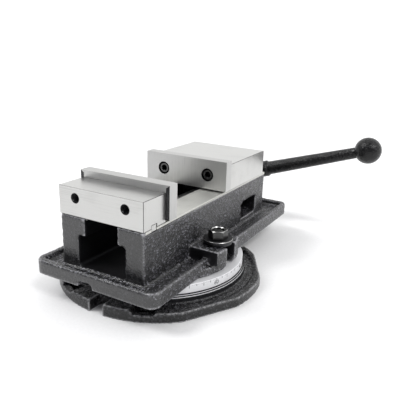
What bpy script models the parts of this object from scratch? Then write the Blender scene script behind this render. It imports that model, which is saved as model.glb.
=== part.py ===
"""A milling-machine vise with 100 mm jaws, on a graduated swivel base.

Metres, +Z up. The origin is on the swivel axis, on the plane that the base stands on.
+Y runs along the screw, from the fixed jaw towards the crank.
"""

import math

import bmesh
import bpy
from mathutils import Matrix, Vector

MM = 0.001
GAP = 0.3 * MM

# Swivel base
BASE_RADIUS = 107.5 * MM
BASE_FLAT = 103.5 * MM
BASE_SHELF = 9.0 * MM
RIM_TOP = 10.0 * MM
RIM_LOW = 7.5 * MM
GROOVE_INNER = 97.0 * MM
GROOVE_OUTER = 99.5 * MM
GROOVE_FLOOR = 7.0 * MM
FOOT_RADIUS = 89.5 * MM
FOOT_TOP = 15.2 * MM
RING_RADIUS = 86.5 * MM
RING_TOP = 25.4 * MM
EAR_TOP = 12.0 * MM
EAR_WIDTH = 33.0 * MM
BASE_SLOT_HALF = 7.8 * MM
BASE_SLOT_END = 96.0 * MM
T_SLOT_RADIUS = 66.0 * MM
T_SLOT_NECK_HALF = 6.8 * MM
T_SLOT_HALF = 11.2 * MM
T_SLOT_FLOOR = 8.0 * MM
T_SLOT_ROOF = 18.5 * MM
PIVOT_RADIUS = 15.0 * MM

# Vise body
BODY_FLOOR = RING_TOP + GAP
BODY_HALF = 47.2 * MM
BODY_FRONT = -97.0 * MM
BODY_REAR = 160.0 * MM
BED_TOP = 85.0 * MM
FLANGE_HALF = 69.0 * MM
FLANGE_FRONT = -113.0 * MM
FLANGE_REAR = 193.0 * MM
FLANGE_TOP = 40.5 * MM
FLANGE_CORNER = 10.0 * MM
TRAY_FLOOR = 35.0 * MM
TRAY_RIM = 6.0 * MM
PAD_RADIUS = 79.6 * MM
PAD_TOP = 34.0 * MM
LUG_TOP = 48.0 * MM
LUG_REACH = 82.0 * MM
LUG_Y = 2.0 * MM
LUG_HALF = 24.5 * MM
LUG_SLOT_HALF = 9.0 * MM
CHANNEL_HALF = 26.5 * MM
CHANNEL_NECK = 18.3 * MM
CHANNEL_FLOOR = 37.0 * MM
CHANNEL_ROOF = 67.0 * MM
CHANNEL_END = 137.0 * MM

# Jaws
PLATE_HALF = 51.0 * MM
PLATE_BOTTOM = 87.0 * MM
PLATE_TOP = 119.2 * MM
FIXED_BLOCK_TOP = 112.4 * MM
FIXED_PLATE_FRONT = -63.9 * MM
FIXED_FACE = -51.5 * MM
MOVING_FACE = 44.7 * MM
MOVING_PLATE_REAR = 56.2 * MM
MOVING_BLOCK_HALF = 49.2 * MM
MOVING_BLOCK_REAR = 148.5 * MM
MOVING_BLOCK_TOP = 114.5 * MM
PLATE_SCREW_X = 28.0 * MM
PLATE_SCREW_Z = 102.5 * MM
KEY_Y = -81.5 * MM
KEY_WIDTH = 6.4 * MM
KEY_BOTTOM = 82.6 * MM
KEY_TOP = 88.2 * MM
JAW_BOLT_X = 37.0 * MM
JAW_BOLT_Y = -71.0 * MM

# Screw
SCREW_Z = 66.0 * MM
THREAD_RADIUS = 10.0 * MM
THREAD_DEPTH = 2.5 * MM
THREAD_PITCH = 5.0 * MM
THREAD_FRONT = -24.0 * MM
THREAD_TURNS = 28
THREAD_STEPS = 16
JOURNAL_RADIUS = 9.0 * MM
SHOULDER_RADIUS = 15.0 * MM
SHOULDER_FRONT = 121.0 * MM
BEARING_FRONT = 127.0 * MM
NUT_FRONT = 70.0 * MM
NUT_REAR = 112.0 * MM

# The tongue on the nut, the half ball in front of it, and their pocket under the moving jaw
TONGUE_FRONT = 70.0 * MM
TONGUE_REAR = 112.0 * MM
TONGUE_TOP = 102.0 * MM
TONGUE_LEAN = math.radians(20.0)
POCKET_FRONT = 69.0 * MM
POCKET_REAR = 114.0 * MM
POCKET_TOP = 104.0 * MM
HALF_BALL_RADIUS = 8.0 * MM
HALF_BALL_Z = 94.0 * MM

# Crank
CRANK_Y = 222.0 * MM
CRANK_RISE = math.radians(17.6)
CRANK_LENGTH = 165.3 * MM
HEX_FLATS = 14.0 * MM
HUB_RADIUS = 16.0 * MM
HUB_FRONT = 200.0 * MM
HUB_REAR = 236.0 * MM
BALL_RADIUS = 16.3 * MM

CUTTER = None


# ---------------------------------------------------------------- scene and materials

def clear_scene():
    for obj in list(bpy.data.objects):
        bpy.data.objects.remove(obj, do_unlink=True)


def make_material(name, colour, metallic, roughness):
    material = bpy.data.materials.new(name)
    material.use_nodes = True
    shader = material.node_tree.nodes["Principled BSDF"]
    shader.inputs["Base Color"].default_value = (*colour, 1.0)
    shader.inputs["Metallic"].default_value = metallic
    shader.inputs["Roughness"].default_value = roughness
    return material


# ---------------------------------------------------------------- outlines

def arc(centre, radius, start, end, steps):
    """Points on an arc, angles in degrees from +U towards +V, both ends included."""
    points = []
    for i in range(steps + 1):
        angle = math.radians(start + (end - start) * i / steps)
        points.append((centre[0] + radius * math.cos(angle), centre[1] + radius * math.sin(angle)))
    return points


def circle(radius, steps, centre=(0.0, 0.0)):
    return arc(centre, radius, 0.0, 360.0, steps)[:-1]


def hexagon(flats, centre=(0.0, 0.0), turn=0.0):
    corner = flats / math.sqrt(3.0)
    return [(centre[0] + corner * math.cos(math.radians(turn + 60 * i)),
             centre[1] + corner * math.sin(math.radians(turn + 60 * i))) for i in range(6)]


def rectangle(u0, u1, v0, v1):
    return [(u0, v0), (u1, v0), (u1, v1), (u0, v1)]


def rounded(u0, u1, v0, v1, radius, steps=6):
    return (arc((u1 - radius, v0 + radius), radius, -90, 0, steps)
            + arc((u1 - radius, v1 - radius), radius, 0, 90, steps)
            + arc((u0 + radius, v1 - radius), radius, 90, 180, steps)
            + arc((u0 + radius, v0 + radius), radius, 180, 270, steps))


def base_outline(steps=60):
    """The base seen from above: a circle with four flats, at 60 degrees to either side of each end."""
    points = []
    for i in range(steps):
        angle = 2 * math.pi * i / steps
        radius = BASE_RADIUS
        for flat in (-150, -30, 30, 150):
            across = math.cos(angle - math.radians(flat))
            if across > 0:
                radius = min(radius, BASE_FLAT / across)
        points.append((radius * math.cos(angle), radius * math.sin(angle)))
    return points


# ---------------------------------------------------------------- solids

AXES = {
    "X": Matrix(((0, 0, 1), (1, 0, 0), (0, 1, 0))),
    "Y": Matrix(((1, 0, 0), (0, 0, 1), (0, 1, 0))),
    "Z": Matrix(((1, 0, 0), (0, 1, 0), (0, 0, 1))),
}


def add_object(name, work, material):
    """Turns a bmesh into an object, with its faces outwards and its round faces smooth."""
    bmesh.ops.recalc_face_normals(work, faces=work.faces)
    mesh = bpy.data.meshes.new(name)
    work.to_mesh(mesh)
    work.free()
    mesh.shade_smooth()
    mesh.set_sharp_from_angle(angle=math.radians(35))
    obj = bpy.data.objects.new(name, mesh)
    bpy.context.scene.collection.objects.link(obj)
    if material is CUTTER:
        obj.hide_render = True
        obj.display_type = "WIRE"
    else:
        mesh.materials.append(material)
    return obj


def prism(name, material, outline, low, high, axis="Z"):
    """Extrudes an outline in the plane across an axis: (x, y) for Z, (x, z) for Y, (y, z) for X."""
    turn = AXES[axis]
    work = bmesh.new()
    ring = [work.verts.new(turn @ Vector((u, v, low))) for u, v in outline]
    face = work.faces.new(ring)
    grown = bmesh.ops.extrude_face_region(work, geom=[face])["geom"]
    moved = [item for item in grown if isinstance(item, bmesh.types.BMVert)]
    bmesh.ops.translate(work, verts=moved, vec=turn @ Vector((0, 0, high - low)))
    return add_object(name, work, material)


def turned(name, material, profile, axis="Z", centre=(0.0, 0.0), steps=24):
    """Spins a closed profile of (radius, height) points about an axis through centre."""
    turn = AXES[axis]
    work = bmesh.new()
    rings = []
    for radius, height in profile:
        if radius < 1e-7:
            rings.append([work.verts.new(turn @ Vector((centre[0], centre[1], height)))])
            continue
        ring = []
        for u, v in circle(radius, steps, centre):
            ring.append(work.verts.new(turn @ Vector((u, v, height))))
        rings.append(ring)
    for first, second in zip(rings, rings[1:] + rings[:1]):
        if len(first) == 1 and len(second) == 1:
            continue
        for i in range(steps):
            corners = [first[i % len(first)], first[(i + 1) % len(first)],
                       second[(i + 1) % len(second)], second[i % len(second)]]
            work.faces.new(list(dict.fromkeys(corners)))
    return add_object(name, work, material)


def rod(name, material, radius, low, high, axis="Z", centre=(0.0, 0.0), steps=24):
    return prism(name, material, circle(radius, steps, centre), low, high, axis)


def tube(name, material, bore, radius, low, high, axis="Z", centre=(0.0, 0.0), steps=24):
    profile = [(bore, low), (radius, low), (radius, high), (bore, high)]
    return turned(name, material, profile, axis, centre, steps)


def combine(target, operation, tools):
    for tool in tools:
        tool.hide_render = True
        tool.display_type = "WIRE"
        modifier = target.modifiers.new(tool.name, "BOOLEAN")
        modifier.operation = operation
        modifier.solver = "EXACT"
        modifier.object = tool


def cut(target, *tools):
    combine(target, "DIFFERENCE", tools)


def join(target, *tools):
    combine(target, "UNION", tools)


def put_on_axis(axis_object, pieces):
    """Hangs pieces on an empty that stands on their joint's axis, and gives them its origin."""
    for piece in pieces:
        piece.data.transform(Matrix.Translation(-axis_object.location))
        piece.parent = axis_object
        for modifier in piece.modifiers:
            modifier.object.data.transform(Matrix.Translation(-axis_object.location))
            modifier.object.parent = axis_object


def make_axis(name, location):
    empty = bpy.data.objects.new(name, None)
    empty.location = location
    empty.empty_display_size = 0.02
    bpy.context.scene.collection.objects.link(empty)
    return empty


# ---------------------------------------------------------------- swivel base

def make_base(paint):
    base = prism("swivel_base", paint, base_outline(), 0.0, RIM_TOP)
    shelf = [(FOOT_RADIUS - MM, BASE_SHELF), (GROOVE_INNER, BASE_SHELF), (GROOVE_INNER, GROOVE_FLOOR),
             (GROOVE_OUTER, GROOVE_FLOOR), (GROOVE_OUTER, RIM_TOP + MM), (FOOT_RADIUS - MM, RIM_TOP + MM)]
    groove = turned("cut_shelf", CUTTER, shelf, steps=60)
    foot = rod("add_foot", CUTTER, FOOT_RADIUS, 2 * MM, FOOT_TOP, steps=60)
    ring = rod("add_ring", CUTTER, RING_RADIUS, 3 * MM, RING_TOP, steps=60)
    cut(base, groove)
    for side in (-1, 1):
        ear = prism(f"add_ear_{side}", CUTTER, ear_outline(side), MM, EAR_TOP)
        join(base, ear)
    join(base, foot, ring)
    for i, middle in enumerate((-115.0, -65.0, 65.0, 115.0)):
        pocket = sector(FOOT_RADIUS + 2 * MM, GROOVE_OUTER + MM, middle, 6.0)
        dip = sector(GROOVE_OUTER, BASE_RADIUS + 2 * MM, middle, 5.8)
        cut(base, prism(f"cut_pocket_{i}", CUTTER, pocket, 3.5 * MM, RIM_TOP + 3 * MM),
            prism(f"cut_rim_dip_{i}", CUTTER, dip, RIM_LOW, RIM_TOP + 2 * MM))
    cut(base, t_slot_cutter())
    entry = rod("cut_t_slot_entry", CUTTER, 12.0 * MM, T_SLOT_FLOOR + GAP, RING_TOP + MM,
                centre=(0.0, T_SLOT_RADIUS), steps=24)
    core = tube("cut_core", CUTTER, 26.0 * MM, 48.0 * MM, 10.0 * MM, RING_TOP + MM, steps=36)
    socket = rod("cut_socket", CUTTER, PIVOT_RADIUS + GAP, T_SLOT_FLOOR, RING_TOP + MM)
    cut(base, entry, core, socket)
    for side in (-1, 1):
        cut(base, prism(f"cut_base_slot_{side}", CUTTER, base_slot(side), -MM, 20 * MM))
    return base


def sector(inner, outer, middle, half):
    """A piece of a ring, its middle and half width in degrees."""
    return arc((0, 0), outer, middle - half, middle + half, 4) + arc((0, 0), inner, middle + half,
                                                                  middle - half, 4)


def ear_outline(side):
    """Both raised ears at one end, from the ring's foot out to the rim."""
    reach = math.degrees(math.asin(EAR_WIDTH / BASE_RADIUS))
    outer = arc((0, 0), BASE_RADIUS - 0.5 * MM, 90 * side - reach, 90 * side + reach, 12)
    inner = arc((0, 0), FOOT_RADIUS - 6 * MM, 90 * side + reach, 90 * side - reach, 12)
    return outer + inner


def base_slot(side):
    """An open slot for a holding-down bolt, with a round inner end."""
    half = BASE_SLOT_HALF
    start = 180 if side > 0 else 0
    round_end = arc((0.0, side * BASE_SLOT_END), half, start, start + 180, 10)
    far = side * (BASE_RADIUS + 4 * MM)
    return round_end + [(side * half, far), (-side * half, far)]


def t_slot_cutter():
    """The ring-shaped T-slot that the clamping bolts run in."""
    neck, wide = T_SLOT_NECK_HALF, T_SLOT_HALF
    profile = [(T_SLOT_RADIUS - wide, T_SLOT_FLOOR), (T_SLOT_RADIUS + wide, T_SLOT_FLOOR),
               (T_SLOT_RADIUS + wide, T_SLOT_ROOF), (T_SLOT_RADIUS + neck, T_SLOT_ROOF),
               (T_SLOT_RADIUS + neck, RING_TOP + MM), (T_SLOT_RADIUS - neck, RING_TOP + MM),
               (T_SLOT_RADIUS - neck, T_SLOT_ROOF), (T_SLOT_RADIUS - wide, T_SLOT_ROOF)]
    return turned("cut_t_slot", CUTTER, profile, steps=44)


def make_pivot(steel):
    """The pin that keeps the body centred on the base."""
    chamfer = 1.0 * MM
    low = T_SLOT_FLOOR + GAP
    high = CHANNEL_FLOOR - 1.5 * MM
    profile = [(0, low), (PIVOT_RADIUS - chamfer, low), (PIVOT_RADIUS, low + chamfer),
               (PIVOT_RADIUS, high - chamfer), (PIVOT_RADIUS - chamfer, high), (0, high)]
    return turned("swivel_pivot_pin", steel, profile)


# ---------------------------------------------------------------- vise body

def lug_outline(side):
    """A clamping lug seen from above, its outer end round the swivel axis."""
    low = math.degrees(math.asin((LUG_Y - LUG_HALF) / LUG_REACH))
    high = math.degrees(math.asin((LUG_Y + LUG_HALF) / LUG_REACH))
    points = [(40 * MM, LUG_Y - LUG_HALF)] + arc((0, 0), LUG_REACH, low, high, 6)
    points += [(40 * MM, LUG_Y + LUG_HALF)]
    return [(side * x, y) for x, y in points]


def lug_slot(side):
    half = LUG_SLOT_HALF
    points = arc((64 * MM, LUG_Y), half, 90, 270, 8)
    far = LUG_REACH + 2 * MM
    points += [(far, LUG_Y - half), (far, LUG_Y + half)]
    return [(side * x, y) for x, y in points]


def make_body(paint):
    body = prism("body_casting", paint, rounded(-FLANGE_HALF, FLANGE_HALF, FLANGE_FRONT, FLANGE_REAR,
                                                FLANGE_CORNER), BODY_FLOOR, FLANGE_TOP)
    inner = FLANGE_HALF - TRAY_RIM
    tray = prism("cut_tray", CUTTER, rounded(-inner, inner, FLANGE_FRONT + TRAY_RIM + MM,
                                             FLANGE_REAR - TRAY_RIM - MM, FLANGE_CORNER - TRAY_RIM),
                 TRAY_FLOOR, FLANGE_TOP + MM)
    cut(body, tray)
    block = prism("add_block", CUTTER, rectangle(-BODY_HALF, BODY_HALF, BODY_FRONT, BODY_REAR),
                  30 * MM, BED_TOP)
    pad = rod("add_pad", CUTTER, PAD_RADIUS, BODY_FLOOR, PAD_TOP, steps=60)
    join(body, block, pad)
    for side in (-1, 1):
        join(body, prism(f"add_lug_{side}", CUTTER, lug_outline(side), 29 * MM, LUG_TOP))
    channel = rectangle(-CHANNEL_HALF, CHANNEL_HALF, CHANNEL_FLOOR, CHANNEL_ROOF)
    neck = rectangle(-CHANNEL_NECK, CHANNEL_NECK, CHANNEL_ROOF - 3 * MM, BED_TOP + MM)
    cut(body, prism("cut_channel", CUTTER, channel, BODY_FRONT - 2 * MM, CHANNEL_END, "Y"),
        prism("cut_channel_neck", CUTTER, neck, BODY_FRONT - 3 * MM, CHANNEL_END + 0.1 * MM, "Y"))
    for side in (-1, 1):
        cut(body, prism(f"cut_lug_slot_{side}", CUTTER, lug_slot(side), 20 * MM, LUG_TOP + MM))
    cut(body, side_window())
    cut_bores(body)
    return body


def side_window():
    """The window through both side walls near the bearing, its upper front corner cut off."""
    front, rear, low, high, corner = (95 * MM, 136 * MM, 40.8 * MM, 61 * MM, 4 * MM)
    outline = [(front, low), (rear, low), (rear, high), (front + corner, high), (front, high - corner)]
    return prism("cut_windows", CUTTER, outline, -BODY_HALF - MM, BODY_HALF + MM, "X")


def cut_bores(body):
    """The pivot bore, the key slots under the body, and the seats of screw, keys and jaw bolts."""
    pivot = rod("cut_pivot_bore", CUTTER, PIVOT_RADIUS + GAP, 20 * MM, CHANNEL_FLOOR + MM)
    bearing = rod("cut_bush_bore", CUTTER, 13.0 * MM, CHANNEL_END - MM, BODY_REAR + MM, "Y",
                  (0, SCREW_Z))
    cut(body, pivot, bearing)
    key_slot = rectangle(-14.6 * MM, 0.4 * MM, 20 * MM, 31 * MM)
    for name, low, high in (("front", FLANGE_FRONT - MM, -88 * MM),
                            ("rear", 150 * MM, FLANGE_REAR + MM)):
        cut(body, prism(f"cut_key_slot_{name}", CUTTER, key_slot, low, high, "Y"))
    seat = rectangle(KEY_Y - KEY_WIDTH / 2 - 0.6 * MM, KEY_Y + KEY_WIDTH / 2 + 0.6 * MM,
                     KEY_BOTTOM - GAP, BED_TOP + MM)
    cut(body, prism("cut_jaw_key_seat", CUTTER, seat, -BODY_HALF - MM, BODY_HALF + MM, "X"))
    for side in (-1, 1):
        place = (side * JAW_BOLT_X, JAW_BOLT_Y)
        cut(body, rod(f"cut_jaw_bolt_bore_{side}", CUTTER, 4.4 * MM, 40 * MM, BED_TOP + MM,
                      centre=place, steps=20),
            rod(f"cut_jaw_bolt_seat_{side}", CUTTER, 7.0 * MM, 20 * MM, 52 * MM, centre=place,
                steps=24))


# ---------------------------------------------------------------- fasteners

def socket_screw(name, material, shank, head, low, head_at, head_height, hex_flats, axis, centre):
    """A socket-head screw: its shank from low to head_at, its head beyond, on the far side.

    A negative head_height puts the head on the near side, with its socket facing back."""
    way = 1 if head_height > 0 else -1
    top = head_at + head_height
    edge = 0.8 * MM * way
    profile = [(0, low), (shank - 0.6 * MM, low), (shank, low + 0.6 * MM * way), (shank, head_at),
               (head, head_at), (head, top - edge), (head - 0.8 * MM, top), (0, top)]
    screw = turned(name, material, profile, axis, centre, 16)
    depth = head_height * 0.6
    cutter = prism(f"cut_{name}", CUTTER, hexagon(hex_flats, centre), top - depth, top + MM * way, axis)
    cut(screw, cutter)
    return screw


def make_clamps(steel, dark):
    """Each clamp is a T-bolt that stands in the ring slot, with a washer and a nut on the lug."""
    made = []
    reach = math.sqrt(T_SLOT_RADIUS ** 2 - LUG_Y ** 2)
    for side, word in ((1, "right"), (-1, "left")):
        centre = (side * reach, LUG_Y)
        half = 9.5 * MM
        head = rectangle(centre[0] - half, centre[0] + half, centre[1] - half, centre[1] + half)
        bolt = prism(f"t_bolt_{word}", dark, head, T_SLOT_FLOOR + 2 * MM, T_SLOT_ROOF - GAP)
        shank = [(0, 12 * MM), (6 * MM, 12 * MM), (6 * MM, 59.4 * MM), (5.2 * MM, 60.2 * MM),
                 (0, 60.2 * MM)]
        join(bolt, turned(f"add_shank_{word}", CUTTER, shank, centre=centre, steps=20))
        low = LUG_TOP + GAP
        top = low + 5 * MM
        washer = [(6.5 * MM, low), (14.2 * MM, low), (14.2 * MM, low + 1.4 * MM),
                  (15 * MM, low + 2 * MM), (15 * MM, top - 0.7 * MM), (14.3 * MM, top), (6.5 * MM, top)]
        made += [bolt, turned(f"clamp_washer_{word}", dark, washer, centre=centre, steps=24),
                 make_nut(f"clamp_nut_{word}", steel, centre, top + GAP, 62 * MM)]
    return made


def make_nut(name, material, centre, low, high):
    nut = prism(name, material, hexagon(18 * MM, centre, 27), low, high + MM)
    taper = 1.6 * MM
    dome = [(0, low - MM), (11 * MM, low - MM), (11 * MM, high - taper), (8.4 * MM, high),
            (0, high)]
    combine(nut, "INTERSECT", [turned(f"cut_dome_{name}", CUTTER, dome, centre=centre, steps=24)])
    bore = [(0, low - MM), (6.3 * MM, low - MM), (6.3 * MM, high - MM), (7.2 * MM, high + 0.1 * MM),
            (0, high + 0.1 * MM)]
    cut(nut, turned(f"cut_bore_{name}", CUTTER, bore, centre=centre, steps=24))
    return nut


# ---------------------------------------------------------------- jaws

def jaw_plate(name, steel, front, rear, seat_from, seat_to):
    """A hard jaw plate, with two counterbored holes for its screws."""
    bevel = 0.6 * MM
    outline = [(front + bevel, PLATE_BOTTOM), (rear - bevel, PLATE_BOTTOM),
               (rear, PLATE_BOTTOM + bevel), (rear, PLATE_TOP - bevel), (rear - bevel, PLATE_TOP),
               (front + bevel, PLATE_TOP), (front, PLATE_TOP - bevel), (front, PLATE_BOTTOM + bevel)]
    plate = prism(name, steel, outline, -PLATE_HALF, PLATE_HALF, "X")
    for side in (-1, 1):
        centre = (side * PLATE_SCREW_X, PLATE_SCREW_Z)
        cut(plate, rod(f"cut_{name}_hole_{side}", CUTTER, 4.5 * MM, front - MM, rear + MM, "Y",
                       centre, 16),
            rod(f"cut_{name}_seat_{side}", CUTTER, 7.2 * MM, seat_from, seat_to, "Y", centre, 20))
    return plate


def make_fixed_jaw(steel, black):
    """The block at the front of the bed, its plate, two keys, and the screws that hold them."""
    rear = FIXED_PLATE_FRONT - GAP
    block = prism("fixed_jaw_block", steel,
                  rounded(BODY_FRONT, rear, BED_TOP + GAP, FIXED_BLOCK_TOP, 0.6 * MM, 1),
                  -BODY_HALF, BODY_HALF, "X")
    seat = rectangle(KEY_Y - KEY_WIDTH / 2 - 0.6 * MM, KEY_Y + KEY_WIDTH / 2 + 0.6 * MM,
                     BED_TOP - MM, KEY_TOP + GAP)
    cut(block, prism("cut_block_key_seat", CUTTER, seat, -BODY_HALF - MM, BODY_HALF + MM, "X"))
    made = [block]
    for side, word in ((1, "right"), (-1, "left")):
        centre = (side * PLATE_SCREW_X, PLATE_SCREW_Z)
        hole = [(0, BODY_FRONT - MM), (6 * MM, BODY_FRONT - MM), (4.3 * MM, BODY_FRONT + 0.9 * MM),
                (4.3 * MM, rear + MM), (0, rear + MM)]
        cut(block, turned(f"cut_block_hole_{word}", CUTTER, hole, "Y", centre, 16))
        made.append(socket_screw(f"fixed_plate_screw_{word}", black, 4 * MM, 6.6 * MM, -84 * MM,
                                 FIXED_FACE - 8.6 * MM, 7.8 * MM, 6 * MM, "Y", centre))
        place = (side * JAW_BOLT_X, JAW_BOLT_Y)
        cut(block, rod(f"cut_block_bolt_hole_{word}", CUTTER, 4.3 * MM, BED_TOP - MM, 97 * MM,
                       centre=place, steps=16))
        made.append(socket_screw(f"fixed_jaw_bolt_{word}", black, 4 * MM, 6.5 * MM, 96 * MM,
                                 52 * MM - GAP, -8 * MM, 6 * MM, "Z", place))
        ends = sorted((side * (CHANNEL_NECK + 0.5 * MM), side * (BODY_HALF - 0.2 * MM)))
        key = prism(f"fixed_jaw_key_{word}", steel,
                    rectangle(KEY_Y - KEY_WIDTH / 2, KEY_Y + KEY_WIDTH / 2, KEY_BOTTOM, KEY_TOP),
                    ends[0], ends[1], "X")
        made.append(key)
    made.append(jaw_plate("fixed_jaw_plate", steel, FIXED_PLATE_FRONT, FIXED_FACE,
                          FIXED_FACE - 9 * MM, FIXED_FACE + MM))
    return made


def make_moving_jaw(steel, black, bright, iron):
    """The sliding block and its plate, with the nut, the half ball and the set screw under it."""
    front = MOVING_PLATE_REAR + GAP
    block = prism("moving_jaw_block", steel,
                  rounded(front, MOVING_BLOCK_REAR, BED_TOP + GAP, MOVING_BLOCK_TOP, 0.6 * MM, 1),
                  -MOVING_BLOCK_HALF, MOVING_BLOCK_HALF, "X")
    pocket = rectangle(POCKET_FRONT, POCKET_REAR, BED_TOP - MM, POCKET_TOP)
    cut(block, prism("cut_jaw_pocket", CUTTER, pocket, -17.5 * MM, 17.5 * MM, "X"),
        half_ball_shape("cut_half_ball_seat", CUTTER, HALF_BALL_RADIUS + GAP),
        rod("cut_set_screw_hole", CUTTER, 4.3 * MM, POCKET_REAR - MM, MOVING_BLOCK_REAR + MM, "Y",
            (0, HALF_BALL_Z), 20))
    made = [block]
    for side, word in ((1, "right"), (-1, "left")):
        centre = (side * PLATE_SCREW_X, PLATE_SCREW_Z)
        cut(block, rod(f"cut_moving_block_hole_{word}", CUTTER, 4.3 * MM, front - MM, 82 * MM, "Y",
                       centre, 16))
        made.append(socket_screw(f"moving_plate_screw_{word}", black, 4 * MM, 6.6 * MM, 80 * MM,
                                 MOVING_FACE + 8.6 * MM, -7.8 * MM, 6 * MM, "Y", centre))
    made.append(jaw_plate("moving_jaw_plate", steel, MOVING_FACE, MOVING_PLATE_REAR,
                          MOVING_FACE - MM, MOVING_FACE + 9 * MM))
    made.append(make_jaw_nut(iron))
    made.append(half_ball_shape("half_ball", bright, HALF_BALL_RADIUS))
    made.append(make_set_screw(black))
    return made


def half_ball_shape(name, material, radius):
    """Half a ball with its flat face against the tongue, bulging forwards and down."""
    profile = [(0, 0)]
    profile += [(radius * math.sin(math.radians(a)), -radius * math.cos(math.radians(a)))
                for a in range(90, 0, -15)]
    profile += [(0, -radius)]
    ball = turned(name, material, profile, "Y", steps=24)
    face_y = TONGUE_FRONT + (TONGUE_TOP - HALF_BALL_Z) * math.tan(TONGUE_LEAN)
    tilt = Matrix.Rotation(TONGUE_LEAN, 4, "X")
    ball.data.transform(Matrix.Translation((0, face_y - 1.2 * GAP, HALF_BALL_Z)) @ tilt)
    return ball


def make_jaw_nut(iron):
    """The nut block: wide part in the channel, tongue up through the neck into the jaw's pocket."""
    wide = CHANNEL_HALF - 0.5 * MM
    narrow = CHANNEL_NECK - 0.5 * MM
    roof = CHANNEL_ROOF - 0.4 * MM
    outline = [(-wide, CHANNEL_FLOOR + 3 * MM), (wide, CHANNEL_FLOOR + 3 * MM), (wide, roof),
               (narrow, roof), (narrow, BED_TOP - MM), (-narrow, BED_TOP - MM), (-narrow, roof),
               (-wide, roof)]
    nut = prism("jaw_nut", iron, outline, NUT_FRONT, NUT_REAR, "Y")
    foot = 80 * MM
    lean = (TONGUE_TOP - foot) * math.tan(TONGUE_LEAN)
    tongue = [(TONGUE_FRONT + lean, foot), (TONGUE_REAR - MM, foot), (TONGUE_REAR - MM, TONGUE_TOP),
              (TONGUE_FRONT, TONGUE_TOP)]
    join(nut, prism("add_tongue", CUTTER, tongue, -14 * MM, 14 * MM, "X"))
    cut(nut, thread_solid("cut_nut_thread", CUTTER, GAP, NUT_FRONT - 2 * THREAD_PITCH, 13))
    return nut


def make_set_screw(black):
    """The screw in the back of the jaw that takes the play out of tongue and half ball."""
    profile = [(0, TONGUE_REAR + GAP), (2.8 * MM, TONGUE_REAR + GAP),
               (4 * MM, TONGUE_REAR + 1.5 * MM), (4 * MM, 132 * MM), (0, 132 * MM)]
    screw = turned("jaw_set_screw", black, profile, "Y", (0, HALF_BALL_Z), 20)
    cut(screw, prism("cut_set_screw_socket", CUTTER, hexagon(4 * MM, (0, HALF_BALL_Z)), 126 * MM,
                     133 * MM, "Y"))
    return screw


# ---------------------------------------------------------------- screw and bearing

def thread_solid(name, material, grow, near, turns):
    """A left-hand trapezoid thread along +Y, on the lead screw's own helix.

    It starts a whole number of pitches from the lead screw's front end, close to near, so that
    a second one, grown by a clearance, cuts a nut that meshes with the first."""
    start = THREAD_FRONT + round((near - THREAD_FRONT) / THREAD_PITCH) * THREAD_PITCH
    root_radius = THREAD_RADIUS - THREAD_DEPTH + grow
    crest_half = THREAD_PITCH * 0.18 + 0.8 * grow
    foot_half = crest_half + THREAD_PITCH * 0.15
    section = [(-foot_half, root_radius), (-crest_half, THREAD_RADIUS + grow),
               (crest_half, THREAD_RADIUS + grow), (foot_half, root_radius)]
    work = bmesh.new()
    columns = []
    for step in range(THREAD_STEPS):
        angle = 2 * math.pi * step / THREAD_STEPS
        column = []
        for turn in range(turns):
            middle = start + (turn + step / THREAD_STEPS) * THREAD_PITCH
            for offset, radius in section:
                column.append(work.verts.new((radius * math.cos(angle), middle + offset,
                                              SCREW_Z + radius * math.sin(angle))))
        columns.append(column)
    columns.append(columns[0][len(section):])
    for here, there in zip(columns, columns[1:]):
        for i in range(min(len(here), len(there)) - 1):
            work.faces.new((here[i], here[i + 1], there[i + 1], there[i]))
    middle = start + turns * THREAD_PITCH / 2
    ends = {sign: work.verts.new((0, middle + sign * turns * THREAD_PITCH / 2, SCREW_Z))
            for sign in (-1, 1)}
    for edge in [edge for edge in work.edges if edge.is_boundary]:
        sign = -1 if edge.verts[0].co.y < middle else 1
        work.faces.new((edge.verts[0], edge.verts[1], ends[sign]))
    return add_object(name, work, material)


def make_screw(steel):
    """The lead screw: thread, shoulder, journal, and a hexagon for the crank at its end."""
    screw = thread_solid("lead_screw", steel, 0.0, THREAD_FRONT, THREAD_TURNS)
    neck_radius = THREAD_RADIUS - THREAD_DEPTH - 0.7 * MM
    core = [(0, SHOULDER_FRONT - 15 * MM), (neck_radius, SHOULDER_FRONT - 15 * MM),
            (neck_radius, SHOULDER_FRONT), (SHOULDER_RADIUS - MM, SHOULDER_FRONT),
            (SHOULDER_RADIUS, SHOULDER_FRONT + MM),
            (SHOULDER_RADIUS, BEARING_FRONT - GAP), (JOURNAL_RADIUS, BEARING_FRONT - GAP),
            (JOURNAL_RADIUS, 186 * MM), (JOURNAL_RADIUS - 1.2 * MM, 187.2 * MM), (0, 187.2 * MM)]
    drive = prism("add_drive_hexagon", CUTTER, hexagon(HEX_FLATS, (0, SCREW_Z), 30), 180 * MM,
                  HUB_REAR - 2 * MM, "Y")
    join(screw, turned("add_journal", CUTTER, core, "Y", (0, SCREW_Z), 24), drive)
    return screw


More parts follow.
